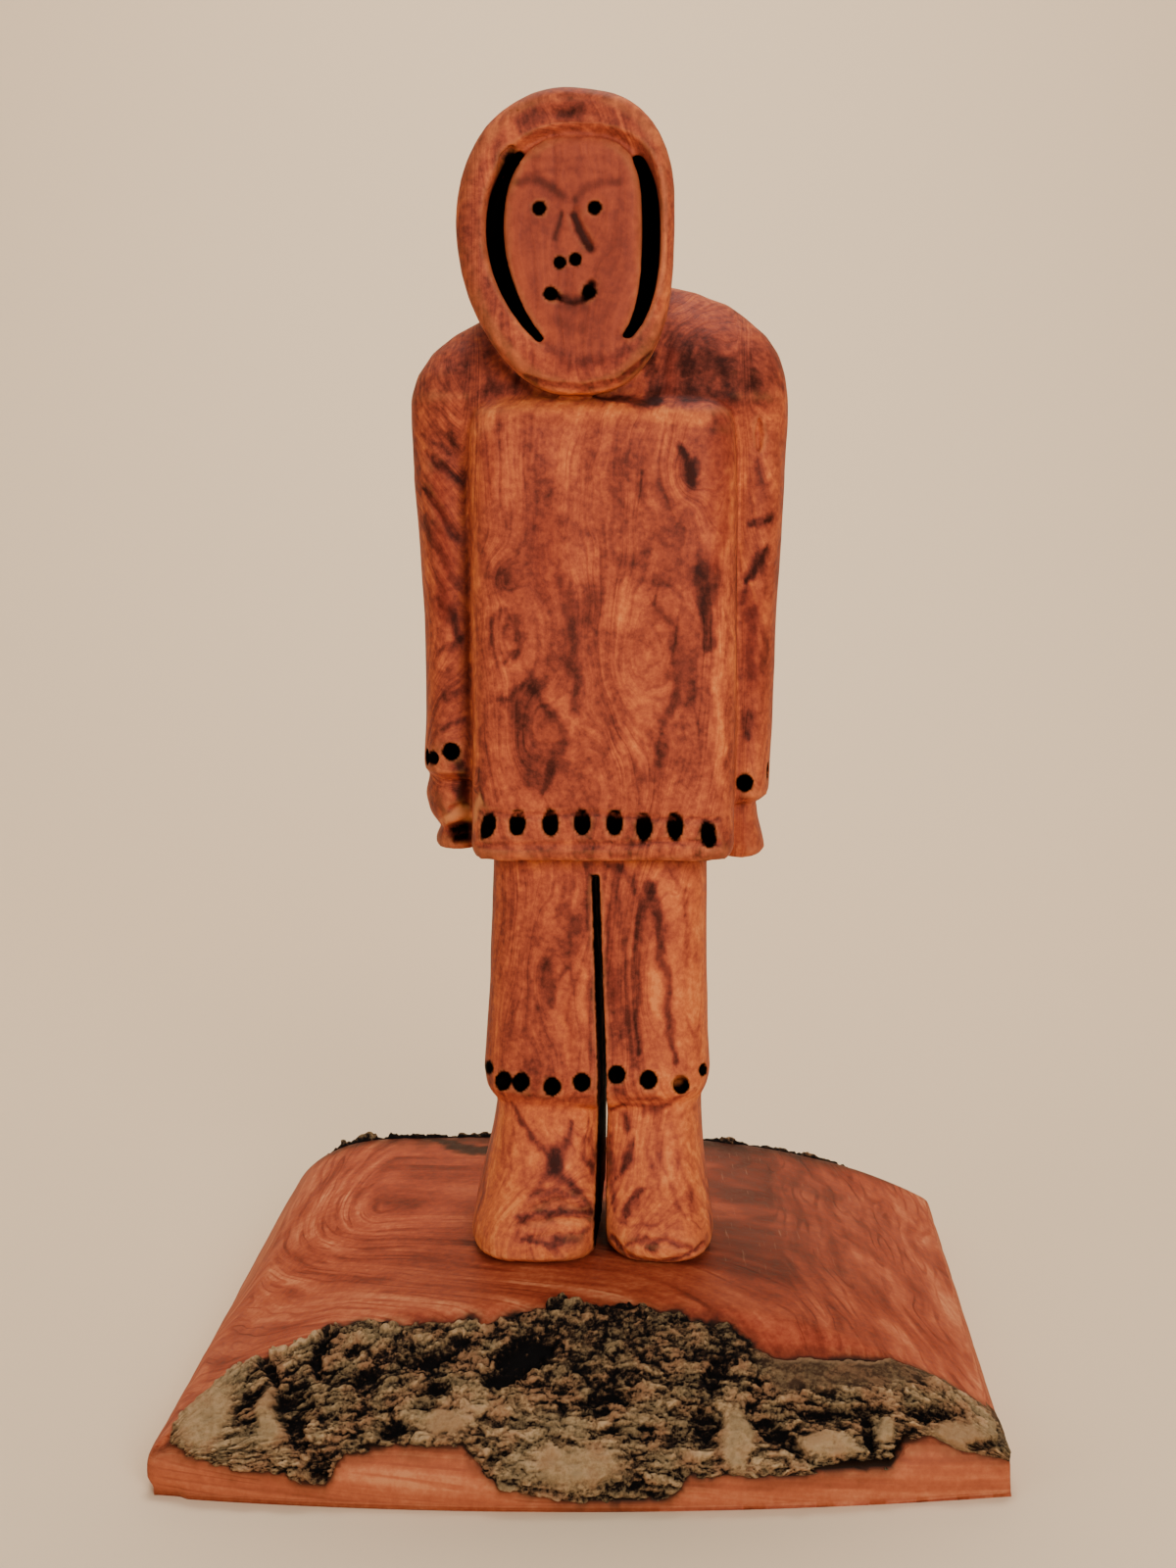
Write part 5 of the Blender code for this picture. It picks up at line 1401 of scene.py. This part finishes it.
def bark_material():
    """Old bark: dry, matt, pale on its worn plates and black down in its cracks."""
    # A trunk's own corky bark, weathered and left rough. To the eye: no sheen at all, grey-brown
    # plates with pink and green-grey patches, and cracks that swallow the light.
    made, tree = new_material("weathered_bark")
    in_mm = place_in_mm(tree)
    # cork grit of 0.8 mm and finer, coloured patches of 4 to 5 mm, strands of 0.7 by 1.2 mm along the edge
    grit = add(tree, "TexNoise", {"Vector": in_mm, "Scale": 1.25, "Detail": 6.0, "Roughness": 0.74})[0]
    patch = add(tree, "TexNoise", {"Vector": in_mm, "Scale": 0.22, "Detail": 4.0})[0]
    flow = add(tree, "VectorMath", {0: in_mm, 1: (0.8, 1.4, 1.4)}, operation="MULTIPLY")[0]
    strand = add(tree, "TexNoise", {"Vector": flow, "Scale": 1.0, "Detail": 4.0, "Roughness": 0.65})[0]
    relief = add(tree, "Attribute", {}, attribute_name="relief")["Vector"]
    height, tone, cracks = add(tree, "SeparateXYZ", {0: relief})
    zones = add(tree, "Attribute", {}, attribute_name="zones")["Vector"]
    # the first zone is the front edge's moss, and on the back edge painted shade
    moss_and_shade, plate, sanded = add(tree, "SeparateXYZ", {0: zones})
    lip = add(tree, "Attribute", {}, attribute_name="lip")["Fac"]
    # the higher a place stands out the lighter it is, as painted shade that deepens down into the gaps and
    # cracks, and its own tone and grit are added to that
    level = add(tree, "MapRange", {"Value": height, "From Min": -1.9, "From Max": 2.7})[0]
    for value, weight, lift in (
        (grit, 1.25, -0.605),
        (strand, 0.55, -0.255),
        (tone, 0.40, -0.20),
        (cracks, -0.34, 0.05),
        (moss_and_shade, -0.17, 0.0),
        (plate, 0.10, 0.0),
    ):
        level = add(tree, "Math", {0: value, 1: weight, 2: level}, operation="MULTIPLY_ADD")[0]
        level = add(tree, "Math", {0: level, 1: lift}, operation="ADD")[0] if lift else level
    colour = add(tree, "ValToRGB", {0: level}, stops=BARK_TONES)[0]
    # patches of green-grey and of pink show only where the light reaches
    lit = add(tree, "MapRange", {"Value": level, "From Min": 0.3, "From Max": 0.55})[0]
    for low, high, code, strength in ((0.50, 0.62, "#77694a", 0.40), (0.50, 0.38, "#a8714c", 0.50)):
        share = add(tree, "MapRange", {"Value": patch, "From Min": low, "From Max": high})[0]
        share = add(tree, "Math", {0: share, 1: lit}, operation="MULTIPLY")[0]
        colour = tint(tree, share, colour, code, strength)
    colour = tint(tree, plate, colour, "#957650", 0.42)
    colour = tint(tree, sanded, colour, "#573d29", 0.60)
    colour = tint(tree, lip, colour, "#b98f66", 0.55)
    bump = add(tree, "Bump", {"Height": grit, "Strength": 0.9, "Distance": 0.0008})[0]
    surface = {"Base Color": colour, "Roughness": 0.95, "Normal": bump, "Specular IOR Level": 0.15}
    shader = add(tree, "BsdfPrincipled", surface)[0]
    add(tree, "OutputMaterial", {"Surface": shader})
    return made


def stage_material():
    """The sweep's paper."""
    # Uncoated backdrop paper in a warm pale colour, hung and drawn forward. To the eye: matt all over,
    # one soft even tone with no pattern.
    made, tree = new_material("warm_paper_sweep")
    shader = add(tree, "BsdfPrincipled", {"Base Color": linear(SWEEP_COLOUR), "Roughness": 0.9})[0]
    add(tree, "OutputMaterial", {"Surface": shader})
    return made


def shade(piece, material):
    """Gives a piece its one material and smooth shading."""
    piece.data.materials.clear()
    piece.data.materials.append(material)
    pick(piece)
    bpy.ops.object.shade_smooth()


def make_piece_set():
    """The figure, the slab and its bark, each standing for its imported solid."""
    figure = carve_figure()
    mark_figure(figure)
    shade(figure, wood_material("oiled_driftwood", FIGURE_TONES, FIGURE_RUN, FIGURE_WEIGHTS, True))
    slab = shape_slab()
    mark_slab(slab)
    shade(slab, wood_material("oiled_live_edge_wood", SLAB_TONES, SLAB_RUN, SLAB_WEIGHTS, False))
    bark = bark_material()
    front = lay_bark("front_bark", -1, FRONT_GAPS, FRONT_PLATES, *FRONT_GRID)
    back = lay_bark("back_bark", 1, (), (), *BACK_GRID)
    shade(front, bark)
    shade(back, bark)
    for piece, node, slot in (
        (slab, "base_slab", "slab_wood"),
        (front, "base_slab", "slab_wood"),
        (back, "base_slab", "slab_wood"),
        (figure, "carved_figure", "figure_wood"),
    ):
        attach(piece, "root")
        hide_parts(node)


def make_stage():
    """A pale sweep: a level floor that turns up softly into the backdrop."""
    sweep = grid_piece("sweep", 2, 60)
    width, length, level, radius, front = SWEEP
    places = points_of(sweep) * MM
    run = (places[:, 1] + 0.5) * length
    turn = np.clip((run - level) / radius, 0.0, math.pi / 2)
    beyond = np.maximum(run - level - radius * math.pi / 2, 0.0)
    y = np.minimum(run, level) + front + radius * np.sin(turn)
    z = radius * (1 - np.cos(turn)) + beyond
    move_points(sweep, np.stack([places[:, 0] * width, y, z], axis=1))
    shade(sweep, stage_material())


def make_light(name, place, size, energy, aim):
    """A round soft light of this width, aimed at a place."""
    data = bpy.data.lights.new(name, "AREA")
    data.shape = "DISK"
    data.size = size * MM
    data.energy = energy
    made = placed(name, data)
    made.location = Vector(place) * MM
    made.rotation_euler = (Vector(aim) - Vector(place)).to_track_quat("-Z", "Y").to_euler()


def make_camera_and_light():
    """The camera, the lights and the room's even light."""
    camera = bpy.data.cameras.new("camera")
    camera.lens = 50.0
    camera.sensor_width = 36.0
    made = placed("camera", camera)
    made.location = Vector(CAMERA_PLACE) * MM
    made.rotation_euler = (math.radians(90.0 - CAMERA_PITCH), 0.0, 0.0)
    bpy.context.scene.camera = made
    for light in LIGHTS:
        make_light(*light)
    world = bpy.data.worlds.new("room")
    bpy.context.scene.world = world
    world.use_nodes = True
    background = world.node_tree.nodes["Background"].inputs
    background["Color"].default_value = linear(ROOM_COLOUR)
    background["Strength"].default_value = ROOM_LIGHT


make_piece_set()
make_stage()
make_camera_and_light()
